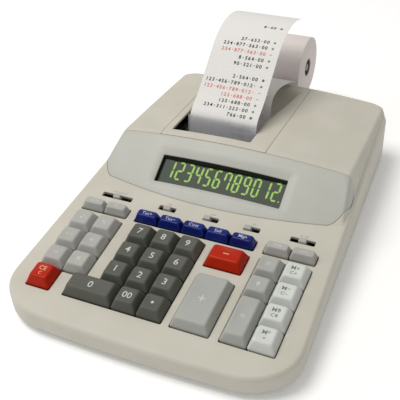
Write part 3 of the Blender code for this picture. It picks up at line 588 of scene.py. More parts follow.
def inside(points, loop):
    """Which plan points lie inside a closed loop, by the even-odd rule."""
    x, y = points[:, 0, None], points[:, 1, None]
    x0, y0 = loop[:, 0], loop[:, 1]
    x1, y1 = np.roll(x0, -1), np.roll(y0, -1)
    rise = np.where(y1 == y0, 1, y1 - y0)
    return (((y0 > y) != (y1 > y)) & (x < x0 + (y - y0) * (x1 - x0) / rise)).sum(axis=1) % 2 == 1


def distance(points, line, closed=True):
    """Each plan point's distance to a line of points."""
    starts = line if closed else line[:-1]
    ends = np.roll(line, -1, axis=0) if closed else line[1:]
    along = ends - starts
    rel = points[:, None] - starts
    share = np.clip((rel * along).sum(axis=2) / (along**2).sum(axis=1), 0, 1)
    return np.linalg.norm(rel - share[..., None] * along, axis=2).min(axis=1)


def near_to(points, loop, reach):
    """Distances to a loop, worked out only for the points within reach of its box."""
    out = np.full(len(points), np.inf)
    close = ((points > loop.min(axis=0) - reach) & (points < loop.max(axis=0) + reach)).all(axis=1)
    out[close] = distance(points[close], loop)
    return out


def lattice(region, spacing):
    """A square grid of plan points inside a region."""
    low, high = region.min(axis=0), region.max(axis=0)
    axes = [np.arange(low[i] + spacing / 2, high[i], spacing) for i in (0, 1)]
    grid = np.stack(np.meshgrid(*axes), axis=-1).reshape(-1, 2)
    return grid[inside(grid, region)]


def triangulate(loops, radii, guides, patches, spacing):
    """Constrained triangles over the first loop, less the other loops. Each loop is followed by rings
    across its rounded edge, guides are open lines to keep, and patches are regions of finer grid."""
    lines = [(loop, True) for loop in loops] + [(guide, False) for guide in guides]
    for i, (loop, radius) in enumerate(zip(loops, radii)):
        inward = 1 if i == 0 else -1
        lines += [(inset(loop, inward * share * radius), True) for share in (0.08, 0.29, 0.62, 1)
                  if radius > 0]
    grids = [lattice(loops[0], spacing)]
    for region, fine in patches:
        grids = [g[~inside(g, region)] for g in grids] + [lattice(region, fine)]
    sizes = [spacing] + [fine for _, fine in patches]
    kept = []
    for grid, size in zip(grids, sizes):
        clear = inside(grid, loops[0])
        for loop, radius in zip(loops, radii):
            clear &= near_to(grid, loop, radius + size) > radius + 0.45 * size
        for guide in guides:
            clear &= distance(grid, guide, False) > 0.4 * size
        for loop in loops[1:]:
            clear &= ~inside(grid, loop)
        kept.append(grid[clear])
    points, edges = [], []
    for line, closed in lines:
        first, count = len(points), len(line)
        points += [Vector(p) for p in line]
        edges += [(first + i, first + (i + 1) % count) for i in range(count if closed else count - 1)]
    points += [Vector(p) for p in np.concatenate(kept)]
    made = delaunay_2d_cdt(points, edges, [], 0, 1e-4)
    plan = np.array([tuple(p) for p in made[0]])
    faces = np.array(made[2])
    a, b, c = plan[faces[:, 0]], plan[faces[:, 1]], plan[faces[:, 2]]
    area = (b[:, 0] - a[:, 0]) * (c[:, 1] - a[:, 1]) - (b[:, 1] - a[:, 1]) * (c[:, 0] - a[:, 0])
    faces[area < 0] = faces[area < 0][:, ::-1]
    middle = (a + b + c) / 3
    keep = inside(middle, loops[0]) & (np.abs(area) > 1e-6)
    for loop in loops[1:]:
        keep &= ~inside(middle, loop)
    return plan, faces[keep]


def open_edges(faces):
    """Directed edges of triangles that no other triangle of the set shares."""
    edges = np.concatenate([faces[:, [0, 1]], faces[:, [1, 2]], faces[:, [2, 0]]])
    size = int(edges.max()) + 1
    own, other = edges[:, 0] * size + edges[:, 1], edges[:, 1] * size + edges[:, 0]
    return edges[~np.isin(own, other)]


def shell(name, loops, radii, guides, patches, spacing, heights, thick, finish, skirt=None, **more):
    """A moulded shell. Its outer skin is the height function over the plan, less a quarter-circle
    rounding near each edge; its inner skin lies a wall's thickness below, and walls join the two.
    With a skirt, the outline's wall carries on down to a foot and the shell is hollow inside it."""
    guides = list(guides)
    if skirt:
        inner = inset(loops[0], skirt[0])
        guides.append(np.concatenate([inner, inner[:1]]))
    plan, faces = triangulate(loops, radii, guides, patches, spacing)
    x, back = plan.T
    top = heights(x, back)
    for loop, radius in zip(loops, radii):
        if radius > 0:
            into = np.clip(radius - near_to(plan, loop, radius), 0, radius)
            top = top - (radius - np.sqrt(radius**2 - into**2))
    lean = thick * math.tan(DECK_SLOPE)
    shifts = ((thick, 0), (-thick, 0), (0, thick), (0, -thick))
    low = np.min([heights(x + a, back + lean + b) for a, b in shifts], axis=0) - thick
    low = np.minimum(low, top - 0.6)

    # Every plan point has three levels: the outer skin, the inner skin and the foot
    count = len(plan)
    hollow = inside(plan[faces].mean(axis=1), inner) if skirt else np.full(len(faces), True)
    foot = np.full_like(x, skirt[1] if skirt else 0)
    points = np.concatenate([np.stack(level, axis=1) for level in
                             ((x, back, top), (x, back + lean, low), (x, back, foot))])
    groups = [faces, faces[hollow][:, ::-1] + count, faces[~hollow][:, ::-1] + 2 * count]
    outer = open_edges(faces)
    key = outer[:, 0] * count + outer[:, 1]
    to_foot = np.isin(key, [a * count + b for a, b in open_edges(faces[~hollow])]) if skirt else key < 0
    a, b = outer.T
    drop = np.where(to_foot, 2 * count, count)
    groups.append(np.stack([b, a, a + drop, b + drop], axis=1))
    if skirt:
        a, b = open_edges(faces[hollow]).T
        new = ~np.isin(a * count + b, key)
        a, b = a[new], b[new]
        groups.append(np.stack([b + count, a + count, a + 2 * count, b + 2 * count], axis=1))

    # Only the points in use are kept, with new numbers
    used = np.unique(np.concatenate([group.ravel() for group in groups]))
    renumber = np.zeros(3 * count, int)
    renumber[used] = np.arange(len(used))
    return piece(name, points[used], [face for group in groups for face in renumber[group].tolist()],
                 finish, **more)


# Each block of keys as one well in the deck, in the deck's frame
KEY_BLOCKS = [
    deck_loop([
        (-92.7, 0), (-73.7, 0), (-73.7, 19), (-62.6, 19), (-62.6, 0), (13.4, 0), (13.4, 76),
        (-43.6, 76), (-43.6, 19), (-54.7, 19), (-54.7, 76), (-92.7, 76),
    ]),
    deck_rectangle(19.6, 47.6, 0, 47),
    deck_rectangle(19.6, 47.6, 56.5, 75.1),
    deck_rectangle(54.7, 92.7, 0, 76),
    deck_rectangle(-92.7, -54.7, 80.7, 90.4),
    deck_rectangle(-47.4, 47.6, 80.7, 90.4),
    deck_rectangle(54.7, 92.7, 80.7, 90.4),
]


def make_top_shell():
    """The deck, hump and skirt in one moulding, open over the key blocks, knob slots and display. Its
    guide lines follow the hump's side edges, and its front corners have a finer grid."""
    slots = [deck_rectangle(x0, x1, *SLOT_V) for x0, x1 in SLOTS.values()]
    wells = [inset(loop, -0.35) for loop in KEY_BLOCKS]
    loops = [case_outline(), *wells, *slots, shell_opening()]
    radii = [EDGE_R, *[0.5] * len(wells), *[0.3] * len(slots), 0.4]
    back = np.arange(162.0, 266.0, 3.0)
    guides = []
    for lean in (0, 0.9, 1.5, 2.2, 3, 4, 5, 6.2, 7.6, 9.2):
        line = np.stack([half_width(back) - LEDGE - lean, back], axis=1)
        guides += [line, line * (-1, 1)]
    corner = rectangle((84, 107), (113, 161), 0, 8)
    patches = [(corner, 1.0), ((corner * (-1, 1))[::-1], 1.0)]
    outlet = turned_z([(-8, CORD_OUTLET_R), (4, CORD_OUTLET_R)], CORD_OUTLET_AT, 32)
    outlet = outlet[..., [0, 2, 1]] + (0, CASE_REAR, 0)
    shell("top_shell", loops, radii, guides, patches, 3.6, skin_height, WALL, "case", (WALL, SKIRT_Z),
          slot="case", stands_for=["top_case"], cutter=solid("cord_outlet", *skin_of_rings(outlet)))


def make_fascia():
    """The display surround. Guide lines keep the recess's edge and mitres sharp, and others follow the
    bend into the roof, with a finer grid at both ends."""
    outline = inset(fascia_outline(), GAP)
    side, low, high = RECESS_MARGIN
    x, back = WINDOW_HALF + side, (WINDOW_LOW - low, WINDOW_HIGH + high)
    recess = rectangle((-x, x), back, 0, 3)
    guides = [np.concatenate([recess, recess[:1]])]
    for sx in (-1, 1):
        for outer, inner in ((back[0], WINDOW_LOW - 0.5), (back[1], WINDOW_HIGH + 0.5)):
            guides.append(np.linspace((sx * (x - 0.2), outer + 0.1 * np.sign(inner - outer)),
                                      (sx * (WINDOW_HALF + 0.6), inner), 6))
    for back in (151, 152.5, 154, 155, 156, 156.8, 157.4):
        across = np.linspace(-(half_width(back) - 8), half_width(back) - 8, 50)
        guides.append(np.stack([across, np.full(50, float(back))], axis=1))
    end = rectangle((88, 105), (118, 161), 0, 8)
    patches = [(end, 0.9), ((end * (-1, 1))[::-1], 0.9)]
    shell("display_surround", [outline, window_outline()], [0.4, 0.4], guides, patches, 2.5,
          recessed_height, WALL, "fascia", slot="fascia", stands_for=["display_fascia"])


def make_window_collar():
    """A thin dark collar round the opening, from just under the fascia's edge down to the pane: painted
    shade, whose near-black stands in for the shadow on the opening's walls. Each of its four edges is the
    opening's outline moved in by one of two depths, at the top or the foot."""
    loop = window_outline()
    top = recessed_height(*loop.T) - COLLAR_DROP
    foot = top - math.cos(FACE_SLOPE) * (PANE_DEPTH - RECESS - 0.6)
    outer, inner = COLLAR_SIDES
    rings = [np.column_stack([inset(loop, depth), height])
             for depth, height in ((outer, top), (inner, top), (inner, foot), (outer, foot))]
    # painted shade: the near-black collar stands in for the shadow inside the window opening
    piece("window_painted_shade_collar", *skin_of_rings(rings, closed=True), "collar", slot="fascia")


def make_printer_cover():
    """The lift-off roof panel with the paper's bay, and a finer grid over its scoop."""
    outline = rectangle(COVER_X, (FACE_TOP + GAP, COVER_REAR), 1.0, 2.5)
    bay = rectangle(BAY_X, BAY_BACK, 1.0, 2.5)
    scoop = rounded([(-61, 204.5), (30, 204.5), (30, 268), (-61, 268)], [0] * 4, 5)
    shell("bay_cover", [outline, bay], [0.4, 0.5], [], [(scoop, 1.3)], 3, cover_height, 1.8, "cover",
          slot="case", stands_for=["printer_cover"])


# ---- base, feet and screws ----


def make_base():
    """The base tray: its wall's profile carried round the case's outline, its floor closed."""
    outline = case_outline()
    steps = [(0.6, BASE_Z), (0, BASE_Z + 0.6), (0, BASE_TOP_Z), (WALL, BASE_TOP_Z), (WALL, BASE_Z + WALL)]
    rings = [np.column_stack([inset(outline, WALL + GAP + depth), np.full(len(outline), z)])
             for depth, z in steps]
    piece("base_tray", *skin_of_rings(rings), "case", slot="case", stands_for=["base_case"])


def screw_rings(at, seat, down=-1):
    """A pan-head screw as a turned profile: a low dome that stands 1.55 mm off its seat, with a
    driver's socket in its middle."""
    return turned_z([(seat, 2.9), (seat + down * 0.8, 2.9), (seat + down * 1.3, 2.3),
                     (seat + down * 1.55, 1.2), (seat + down * 1.0, 1.1), (seat + down * 0.9, 0.3)], at, 24)


def make_feet_and_screws():
    """Four turned rubber feet with a shallow ring in their soles, and the screws between them."""
    for i in range(1, 5):
        low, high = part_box(f"foot_{i}")
        at = ((low.x + high.x) / 2 / MM, (low.y + high.y) / 2 / MM - KEY_LINE_Y)
        radius, top = (high.x - low.x) / 2 / MM, high.z / MM
        profile = [(top, 1), (top, radius), (0.9, radius), (0.35, radius - 0.25), (0, radius - 0.9),
                   (0, radius - 2.2), (0.35, radius - 2.6), (0.35, 0.5)]
        piece(f"foot_pad_{i}", *skin_of_rings(turned_z(profile, at)), "rubber", slot="rubber",
              stands_for=[f"foot_{i}"])
    for i, at in enumerate(BASE_SCREWS_AT):
        piece(f"base_screw_{i + 1}", *skin_of_rings(screw_rings(at, BASE_Z + 0.3)), "steel",
              slot="frame_metal")


# ---- keys ----


# Each key's legend and its size of type
LEGENDS = {
    "key_clear": ("CE", 5.0), "key_shift": ("→", 5), "key_multiply": ("×", 8), "key_sign": ("+/−", 4.6),
    "key_divide": ("÷", 8), "key_back": ("√", 5.5), "key_percent": ("%", 6), "key_0": ("0", 7.6),
    "key_00": ("00", 7.2), "key_point": ("·", 17), "key_plus": ("+", 11), "key_minus": ("−", 9),
    "key_total": ("*", 9), "key_subtotal": ("◊", 6), "key_non_add": ("#", 5.5),
    "key_memory_plus": ("M+", 4.6), "key_memory_minus": ("M−", 4.6), "key_memory_subtotal": ("M◊", 4.6),
    "key_memory_total": ("M*", 4.6), "key_rate": ("RATE", 2.8), "key_exchange": ("EX", 3),
    "key_tax_plus": ("Tax+", 4.0), "key_tax_minus": ("Tax−", 4.0), "key_cost": ("Cost", 4.0),
    "key_sell": ("Sell", 4.0), "key_margin": ("Mgn", 4.0), "key_count": ("ITEM", 2.8),
    "key_average": ("AVG", 2.8), **{f"key_{i}": (str(i), 7.6) for i in range(1, 10)},
}
SECOND_LINES = {"key_memory_plus": "C+", "key_memory_minus": "C−", "key_memory_subtotal": "C◊",
                "key_memory_total": "*", "key_clear": "C"}
INKS = {"dark_key": "white_ink", "light_key": "pale_ink", "grey_key": "pale_ink", "white_key": "grey_ink",
        "blue_key": "sky_ink", "red_key": "orange_ink"}


def from_deck(points, centre):
    """Deck-frame points (x, v up the slope, height off the deck) about a centre, as case points."""
    x, v, h = points[..., 0] + centre[0], points[..., 1] + centre[1], points[..., 2]
    cos, sin = math.cos(DECK_SLOPE), math.sin(DECK_SLOPE)
    return np.stack([x, v * cos - h * sin, DECK_Z + v * sin + h * cos], axis=-1)


def to_deck(corner):
    """The deck-frame (x, v, height) of a point of the frame in metres."""
    x, back, z = corner[0] / MM, corner[1] / MM - KEY_LINE_Y, corner[2] / MM - DECK_Z
    cos, sin = math.cos(DECK_SLOPE), math.sin(DECK_SLOPE)
    return np.array([x, back * cos + z * sin, z * cos - back * sin])


def cap_ring(half, insets, radius, z, per_corner=7, per_side=6):
    """Points round a rectangle of half sizes less (side, front, rear) insets, with round corners."""
    side, front, rear = insets
    low = np.array([-half[0] + side, -half[1] + front])
    high = np.array([half[0] - side, half[1] - rear])
    radius = min(radius, 0.48 * min(high - low))
    signs = np.array([(1, -1), (1, 1), (-1, 1), (-1, -1)])
    starts = np.radians([-90, 0, 90, 180])
    turn = starts[:, None] + np.linspace(0, math.pi / 2, per_corner)
    core = np.where(signs > 0, high - radius, low + radius)
    arcs = core[:, None] + radius * np.stack([np.cos(turn), np.sin(turn)], axis=-1)
    ends = np.roll(arcs[:, 0], -1, axis=0)
    share = np.linspace(0, 1, per_side + 1)[1:-1][None, :, None]
    sides = arcs[:, -1:, :] * (1 - share) + ends[:, None] * share
    ring = np.concatenate([arcs, sides], axis=1).reshape(-1, 2)
    return np.column_stack([ring, np.full(len(ring), z)])


def dished(u, v, height, dish):
    """The top of a cap at shares u and v of its half sizes, lowest in its middle."""
    return height - dish * (1 - u**2) * (1 - v**2)


def cap_shape(size, height, kind):
    """A hollow cap as rings from the stem out and round to the dished top. The sides slope in as
    straight lines from skirt to shoulder, the shoulder is a quadratic curve that starts along the
    side and ends level, and the top is lowered by the dish's depth times (1 - u squared)(1 - v squared)."""
    half = (size[0] / 2 - CAP_MARGIN, size[1] / 2 - CAP_MARGIN)
    slope = np.array(CAP_SLOPES[kind])
    shoulder, dish = CAP_EDGES[kind]
    nothing = np.zeros(3)
    rings = [
        cap_ring((2, 2), nothing, 0.5, -5), cap_ring((2, 2), nothing, 0.5, height - 2.4),
        cap_ring(half, slope + 1.3, 0.8, height - 2.4), cap_ring(half, nothing + 1.3, 0.5, -1.5),
        cap_ring(half, nothing + 0.1, 1.1, -1.6), cap_ring(half, nothing, 1.2, -1.3),
        cap_ring(half, nothing, 1.2, 0.8),
    ]
    straight = 1 - shoulder / (height - 1)
    for share in np.linspace(0, straight, 6):
        rings.append(cap_ring(half, slope * share, 1.2 + 0.8 * share, 1 + (height - 1) * share))
    for t in np.linspace(0, 1, 8)[1:]:
        depth = slope * ((1 - t) ** 2 * straight + 2 * t * (1 - t) + t**2) + shoulder * t**2
        rings.append(cap_ring(half, depth, 2.0, height - shoulder * (1 - t) ** 2))
    outer = rings[-1]
    low, high = outer[:, :2].min(axis=0), outer[:, :2].max(axis=0)
    middle, reach = (low + high) / 2, (high - low) / 2
    for share in (0.93, 0.85, 0.75, 0.62, 0.46, 0.28, 0.1):
        ring = outer.copy()
        ring[:, :2] = middle + (ring[:, :2] - middle) * share
        u, v = ((ring[:, :2] - middle) / reach).T
        ring[:, 2] = dished(u, v, height, dish)
        rings.append(ring)
    return rings, middle, reach, dish


def lettering(text, size, bold=0.0, thick=0.03):
    """Flat type as a thin closed body, its strokes grown by bold: its points in millimetres about its
    middle, and its faces."""
    curve = bpy.data.curves.new("type", "FONT")
    curve.body = text
    curve.size = size
    curve.extrude = thick / 2
    curve.resolution_u = 3
    curve.offset = bold
    holder = bpy.data.objects.new("type", curve)
    bpy.context.scene.collection.objects.link(holder)
    bpy.context.view_layer.update()
    mesh = bpy.data.meshes.new_from_object(holder.evaluated_get(bpy.context.evaluated_depsgraph_get()))
    weld = bmesh.new()
    weld.from_mesh(mesh)
    bmesh.ops.remove_doubles(weld, verts=weld.verts, dist=thick / 8)
    weld.to_mesh(mesh)
    weld.free()
    points = np.empty(len(mesh.vertices) * 3)
    mesh.vertices.foreach_get("co", points)
    points = points.reshape(-1, 3)
    faces = [list(face.vertices) for face in mesh.polygons]
    bpy.data.objects.remove(holder)
    bpy.data.curves.remove(curve)
    bpy.data.meshes.remove(mesh)
    points[:, :2] -= (points[:, :2].min(axis=0) + points[:, :2].max(axis=0)) / 2
    return points, faces


def joined(parts):
    """Several (points, faces) as one."""
    starts = np.cumsum([0] + [len(points) for points, _ in parts])
    faces = [[i + start for i in face] for (_, faces), start in zip(parts, starts) for face in faces]
    return np.concatenate([points for points, _ in parts]), faces


def make_key(name, finish):
    """A cap over the CAD key's own box, and its legend laid on the dished top in one or two lines."""
    corners = np.array([to_deck(v.co) for v in frame["nodes"][name].data.vertices])
    low, high = corners.min(axis=0), corners.max(axis=0)
    centre, size, height = (low + high)[:2] / 2, (high - low)[:2] + 2 * CAP_MARGIN, high[2]
    rings, middle, reach, dish = cap_shape(size, height, "slender" if size[1] < SLENDER_BELOW else "full")
    points, faces = skin_of_rings(rings)
    piece(name + "_cap", from_deck(points, centre), faces, finish, body=name, slot=finish, stands_for=[name])
    text, type_size = LEGENDS[name]
    lines = [lettering(text, type_size, 0.06 if finish == "dark_key" else 0.02)]
    if name in SECOND_LINES:
        lines[0][0][:, 1] += 2.1
        lines.append(lettering(SECOND_LINES[name], 4.0, 0.02))
        lines[1][0][:, 1] -= 2.5
    points, faces = joined(lines)
    points[:, :2] += middle
    u, v = ((points[:, :2] - middle) / reach).T
    points[:, 2] += dished(u, v, height, dish) + INK_LIFT
    piece(name + "_legend", from_deck(points, centre), faces, INKS[finish], body=name, slot=finish)


def make_keys():
    for part in frame["record"]["subparts"]:
        if part["node"].startswith("key_"):
            make_key(part["node"], part["material_slot"])


# ---- slide switches ----


def make_switches():
    """Each knob's ribbed thumb piece with a rounded top edge, its foot under the deck, and the fixed
    bed below it that closes the slot. The thumb and the foot slide with the knob."""
    v = sum(SLOT_V) / 2
    none = (0, 0, 0)
    for name, (x0, x1) in SLOTS.items():
        low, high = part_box(name)
        centre = ((low.x + high.x) / 2 / MM, v)
        half = (2.75, (SLOT_V[1] - SLOT_V[0]) / 2 - 0.4)
        rings = [cap_ring(half, none, 0.4, z, 5, 4) for z in (-3.2, 1.2)]
        rings += [cap_ring(half, (i, i, i), 0.5, 1.9 - d, 5, 4) for i, d in fillet(0.5, 4)[::-1]]
        points, faces = skin_of_rings(rings)
        parts = [(from_deck(points, centre), faces)]
        for rib in np.linspace(-1.8, 1.8, 4):
            bar = [cap_ring((0.3, half[1] - 0.5), (i, i, i), radius, z, 3, 3)
                   for i, radius, z in ((0, 0.25, 1.6), (0, 0.25, 2.05), (0.12, 0.15, 2.2))]
            points, faces = skin_of_rings(bar)
            parts.append((from_deck(points, (centre[0] + rib, v)), faces))
        piece(name + "_thumb", *joined(parts), "knob", body=name, slot="knob", stands_for=[name])
        points, faces = skin_of_rings([cap_ring((4.2, 3.4), none, 0.6, z, 4, 3) for z in (-4.9, -3.3)])
        piece(name + "_foot", from_deck(points, centre), faces, "dark_plastic", body=name, slot="knob")
        half_bed = ((x1 - x0) / 2 + 2.5, 4.4)
        points, faces = skin_of_rings([cap_ring(half_bed, none, 0.8, z, 4, 6) for z in (-6.8, -5.6)])
        piece(name + "_bed", from_deck(points, ((x0 + x1) / 2, v)), faces, "dark_plastic", slot="knob")


def make_deck_legends():
    """Small settings printed above the slots, laid on the deck in plain figures and words."""
    above, size = SLOT_V[1] + 2.6, 2.1
    labels = [("A 0 1 2 3 4 6 F", -72, above), ("5/4", -28.9, above), ("· PRT", 6.9, above),
              ("· GT", 39.2, above), ("K · AC", 77.7, above)]
    parts = []
    for text, x, v in labels:
        points, faces = lettering(text, size)
        points[:, 2] += INK_LIFT
        parts.append((from_deck(points, (x, v)), faces))
    piece("deck_legends", *joined(parts), "deck_ink", slot="case")


# ---- display ----


def on_pane(points):
    """Points (x, distance up the face, height off the pane) as case points. The pane lies at a fixed
    depth under the display face, and the distance starts at the pane's foot."""
    up = np.array([math.cos(FACE_SLOPE), math.sin(FACE_SLOPE)])
    out = np.array([-up[1], up[0]])
    start = np.array([PANE_FOOT, face_height(0, PANE_FOOT)]) - PANE_DEPTH * out
    place = start + points[..., 1:2] * up + points[..., 2:3] * out
    return np.concatenate([points[..., :1], place], axis=-1)


# The segments that each figure lights, lettered clockwise from the top with g in the middle
LIT = {"0": "abcdef", "1": "bc", "2": "abged", "3": "abgcd", "4": "fgbc", "5": "afgcd", "6": "afgecd",
       "7": "fabc", "8": "abcdefg", "9": "abcdfg"}


def make_digits():
    """Segment bars: each is a hexagon between two corners of the digit, its ends cut to 45 degrees
    and pulled back by a small gap, sheared a little to the right and raised as a thin body."""
    bar = BAR_WIDTH
    w, h = DIGIT_WIDTH - bar, DIGIT_HEIGHT - bar
    corners = {"tl": (0, h), "tr": (w, h), "ml": (0, h / 2), "mr": (w, h / 2), "bl": (0, 0), "br": (w, 0)}
    ends = {"a": "tl tr", "b": "tr mr", "c": "mr br", "d": "bl br", "e": "bl ml", "f": "ml tl", "g": "ml mr"}
    parts = []
    for i, digit in enumerate(DIGITS):
        x0 = LAST_DIGIT_RIGHT - bar / 2 - w - DIGIT_PITCH * (len(DIGITS) - 1 - i)
        for segment in LIT[digit]:
            a, b = (np.array(corners[c], float) for c in ends[segment].split())
            along = (b - a) / np.linalg.norm(b - a)
            side = np.array([-along[1], along[0]]) * bar / 2
            a, b = a + along * BAR_GAP, b - along * BAR_GAP
            tip = along * bar / 2
            flat = np.array([a, a + tip - side, b - tip - side, b, b - tip + side, a + tip + side])
            flat[:, 0] += x0 + BAR_LEAN * flat[:, 1]
            flat[:, 1] += DIGITS_FOOT + bar / 2
            parts.append(skin_of_rings([np.column_stack([flat, np.full(6, z)]) for z in BAR_LEVELS]))
    dot = [(z, 0.65) for z in BAR_LEVELS]
    parts.append(skin_of_rings(turned_z(dot, (LAST_DIGIT_RIGHT + 1.3, DIGITS_FOOT + 0.7), 16)))
    points, faces = joined(parts)
    piece("display_digits", on_pane(points), faces, "segment", slot="tube")


# ---- printer, paper and roll ----


def smooth_path(points, pieces):
    """A Catmull-Rom curve through points, with this many pieces between each two."""
    p = np.array([2 * np.array(points[0]) - points[1], *points, 2 * np.array(points[-1]) - points[-2]])
    t = np.linspace(0, 1, pieces, endpoint=False)[None, :, None]
    a, b, c, d = p[:-3, None], p[1:-2, None], p[2:-1, None], p[3:, None]
    out = 0.5 * (2 * b + (c - a) * t + (2 * a - 5 * b + 4 * c - d) * t**2 + (3 * b - a - 3 * c + d) * t**3)
    return np.concatenate([out.reshape(-1, 2), [points[-1]]])


def paper_route():
    """The web's and the strip's points (back, height): off the roll, over in a loose arch, under the
    platen, up behind the tear window and over the printed loop to its cut end."""
    back, z = PLATEN_AT
    reach = PLATEN_R + ROUTE_T / 2 + 0.8
    turns = np.radians([-25, -60, -95, -130, -165])
    around = [(back + reach * math.cos(t), z + reach * math.sin(t)) for t in turns]
    leave, clear = math.radians(205), ROLL_R + ROUTE_T / 2 + 0.35
    start = (ROLL_AT[0] + clear * math.cos(leave), ROLL_AT[1] + clear * math.sin(leave))
    web = [start, (286, 45.5), (280, 52), (270, 57.5), (258, 62), (245, 66.5), (232, 69.3),
           (222.5, 68.6), (216.8, 64), (214.6, 57), (212.5, 50), (207, 42)]
    strip = [(181.6, 46), (182.2, 53), (182.6, 62), (185.5, 66.6), (193, 71.3), (203, 77.5), (218, 89),
             (236, 103), (251, 109.6), (267, 111.4), (280, 109.6), (291.5, 105.5)]
    return web + around, strip


def sides_of(path):
    """Unit normals of a (back, height) path, to the left of its run."""
    along = np.gradient(path, axis=0)
    along /= np.linalg.norm(along, axis=1)[:, None]
    return np.stack([-along[:, 1], along[:, 0]], axis=1)


def make_paper():
    """The web and the printed strip as one sheet: a flat section carried along the route. The print is
    thin type bent onto the strip's outer face, each line filled from the right in fixed pitch."""
    web, strip = paper_route()
    path = smooth_path(web + strip, 8)
    side = sides_of(path) * PAPER_T / 2
    x0, x1 = PAPER_X
    across = np.linspace(x0, x1, 13)
    width = np.concatenate([across, across[::-1]])
    face = np.repeat([1.0, -1.0], len(across))
    place = path[:, None] + side[:, None] * face[None, :, None]
    rings = np.concatenate([np.broadcast_to(width[None, :, None], (*place.shape[:2], 1)), place], axis=-1)
    piece("paper_web_and_strip", *skin_of_rings(rings), "paper", slot="paper", stands_for=["paper_strip"],
          crease=60)

    fine = smooth_path(strip, 60)
    length = np.concatenate([[0], np.cumsum(np.linalg.norm(np.diff(fine, axis=0), axis=1))])
    normal = sides_of(fine)

    def on_strip(points):
        """Points (x, distance up the strip, height off it) as case points."""
        at = np.stack([np.interp(points[:, 1], length, fine[:, i]) for i in (0, 1)], axis=1)
        out = np.stack([np.interp(points[:, 1], length, normal[:, i]) for i in (0, 1)], axis=1)
        place = at + out * (points[:, 2:3] + PAPER_T / 2 + 0.05)
        return np.column_stack([points[:, 0], place])

    rows = {
        -3: ("6·00", "+"), -2: ("12·00", "+"), 0: ("766·00", "*"), 1: ("234·311·223·00", "+"),
        2: ("125·688·00", "+"), 3: ("123·688·00", "−"), 4: ("123·456·789·012·", "−"),
        5: ("123·456·789·012·", "+"), 6: ("2·564·00", "*"), 8: ("90·321·00", "+"), 9: ("8·564·00", "+"),
        10: ("234·877·563·00", "−"), 11: ("234·877·563·00", "+"), 12: ("27·653·00", "+"),
        15: ("8·00", "*"),
    }
    type_set = {}
    for finish, wanted in (("black_ink", False), ("red_ink", True)):
        parts = []
        for row, (figures, sign) in rows.items():
            if (sign == "−") != wanted:
                continue
            places = [(c, FIGURES_RIGHT - FIGURE_PITCH * i) for i, c in enumerate(reversed(figures))]
            for letter, x in [*places, (sign, SIGN_X)]:
                if letter not in type_set:
                    type_set[letter] = lettering(letter, 5.4 if letter in "*·" else 4.2, 0.1)
                points, faces = type_set[letter]
                points = points + (x, FIRST_ROW + ROW_PITCH * row, 0)
                parts.append((on_strip(points), faces))
        piece("printed_figures_" + finish[:-4], *joined(parts), finish, slot="paper")


def make_tear_window():
    """The smoked plate that the strip comes up behind, its top edge cut into a row of fine teeth: at
    every half pitch the same four-cornered section, whose upper edge is a tooth's tip or root."""
    pitch, depth, thick = 1.3, 0.5, 1.2
    x0, x1 = -46.5, 11.8
    count = 2 * round((x1 - x0) / pitch)
    x = np.linspace(x0, x1, count + 1)
    top = np.where(np.arange(count + 1) % 2 == 0, 0.0, -depth)
    start, end = np.array([178.8, 46.0]), np.array([180.9, 64.6])
    up = (end - start) / np.linalg.norm(end - start)
    front = np.array([up[1], -up[0]])
    foot, edge = start + 0 * top[:, None], end + up * top[:, None]
    section = (foot, edge + front * 0.2, edge + front * thick, foot + front * thick)
    rings = np.stack([np.column_stack([x, corner]) for corner in section], axis=1)
    # the plate's pale smoked finish is painted light, standing in for light on it from the front
    piece("tear_plate", *skin_of_rings(rings), "smoked", slot="smoked", stands_for=["tear_window"], crease=25)


def make_printer():
    """The turned platen, type wheels and ink roller, and the feed lever: an outline carried across its
    width with chamfered edges."""
    x0, x1 = PLATEN_X
    profile = [(x0 - 2.6, 0.5), (x0 - 2.6, SHAFT_R - 0.3), (x0 - 2.3, SHAFT_R), (x0, SHAFT_R),
               (x0, PLATEN_R - 0.5), (x0 + 0.5, PLATEN_R), (x1 - 0.5, PLATEN_R), (x1, PLATEN_R - 0.5),
               (x1, SHAFT_R), (x1 + 2.3, SHAFT_R), (x1 + 2.6, SHAFT_R - 0.3), (x1 + 2.6, 0.5)]
    piece("platen_drum", *skin_of_rings(turned_x(profile, PLATEN_AT, 48)), "rubber", body="platen_roller",
          slot="rubber", stands_for=["platen_roller"])
    shaft, rim, tyre = 1.0, 3.4, 3.7
    wheels = [(-52.0, shaft)]
    for i in range(WHEELS):
        near = -44 + WHEEL_PITCH * i
        far = near + 2.2
        wheels += [(near, shaft), (near, rim), (near + 0.2, tyre),
                   (far - 0.2, tyre), (far, rim), (far, shaft)]
    wheels.append((12.0, shaft))
    piece("type_wheels", *skin_of_rings(turned_x(wheels, WHEELS_AT, 20)), "lever", slot="frame_metal")
    felt = [(-43.5, 0.5), (-43.5, 3.4), (-43, 3.8), (9, 3.8), (9.5, 3.4), (9.5, 0.5)]
    piece("ink_roller", *skin_of_rings(turned_x(felt, INK_ROLLER_AT, 28)), "ink_felt", slot="rubber")
    lever = rounded([(169.8, 42), (172, 42), (174.5, 52.5), (171.5, 53)], [0.8, 0.8, 1.2, 1.2], 2, 0.5)
    rings = [np.column_stack([np.full(len(lever), x), inset(lever, i)])
             for x, i in ((-51.6, 0.3), (-51.3, 0), (-48.9, 0), (-48.6, 0.3))]
    piece("feed_lever", *skin_of_rings(rings), "lever", slot="frame_metal")


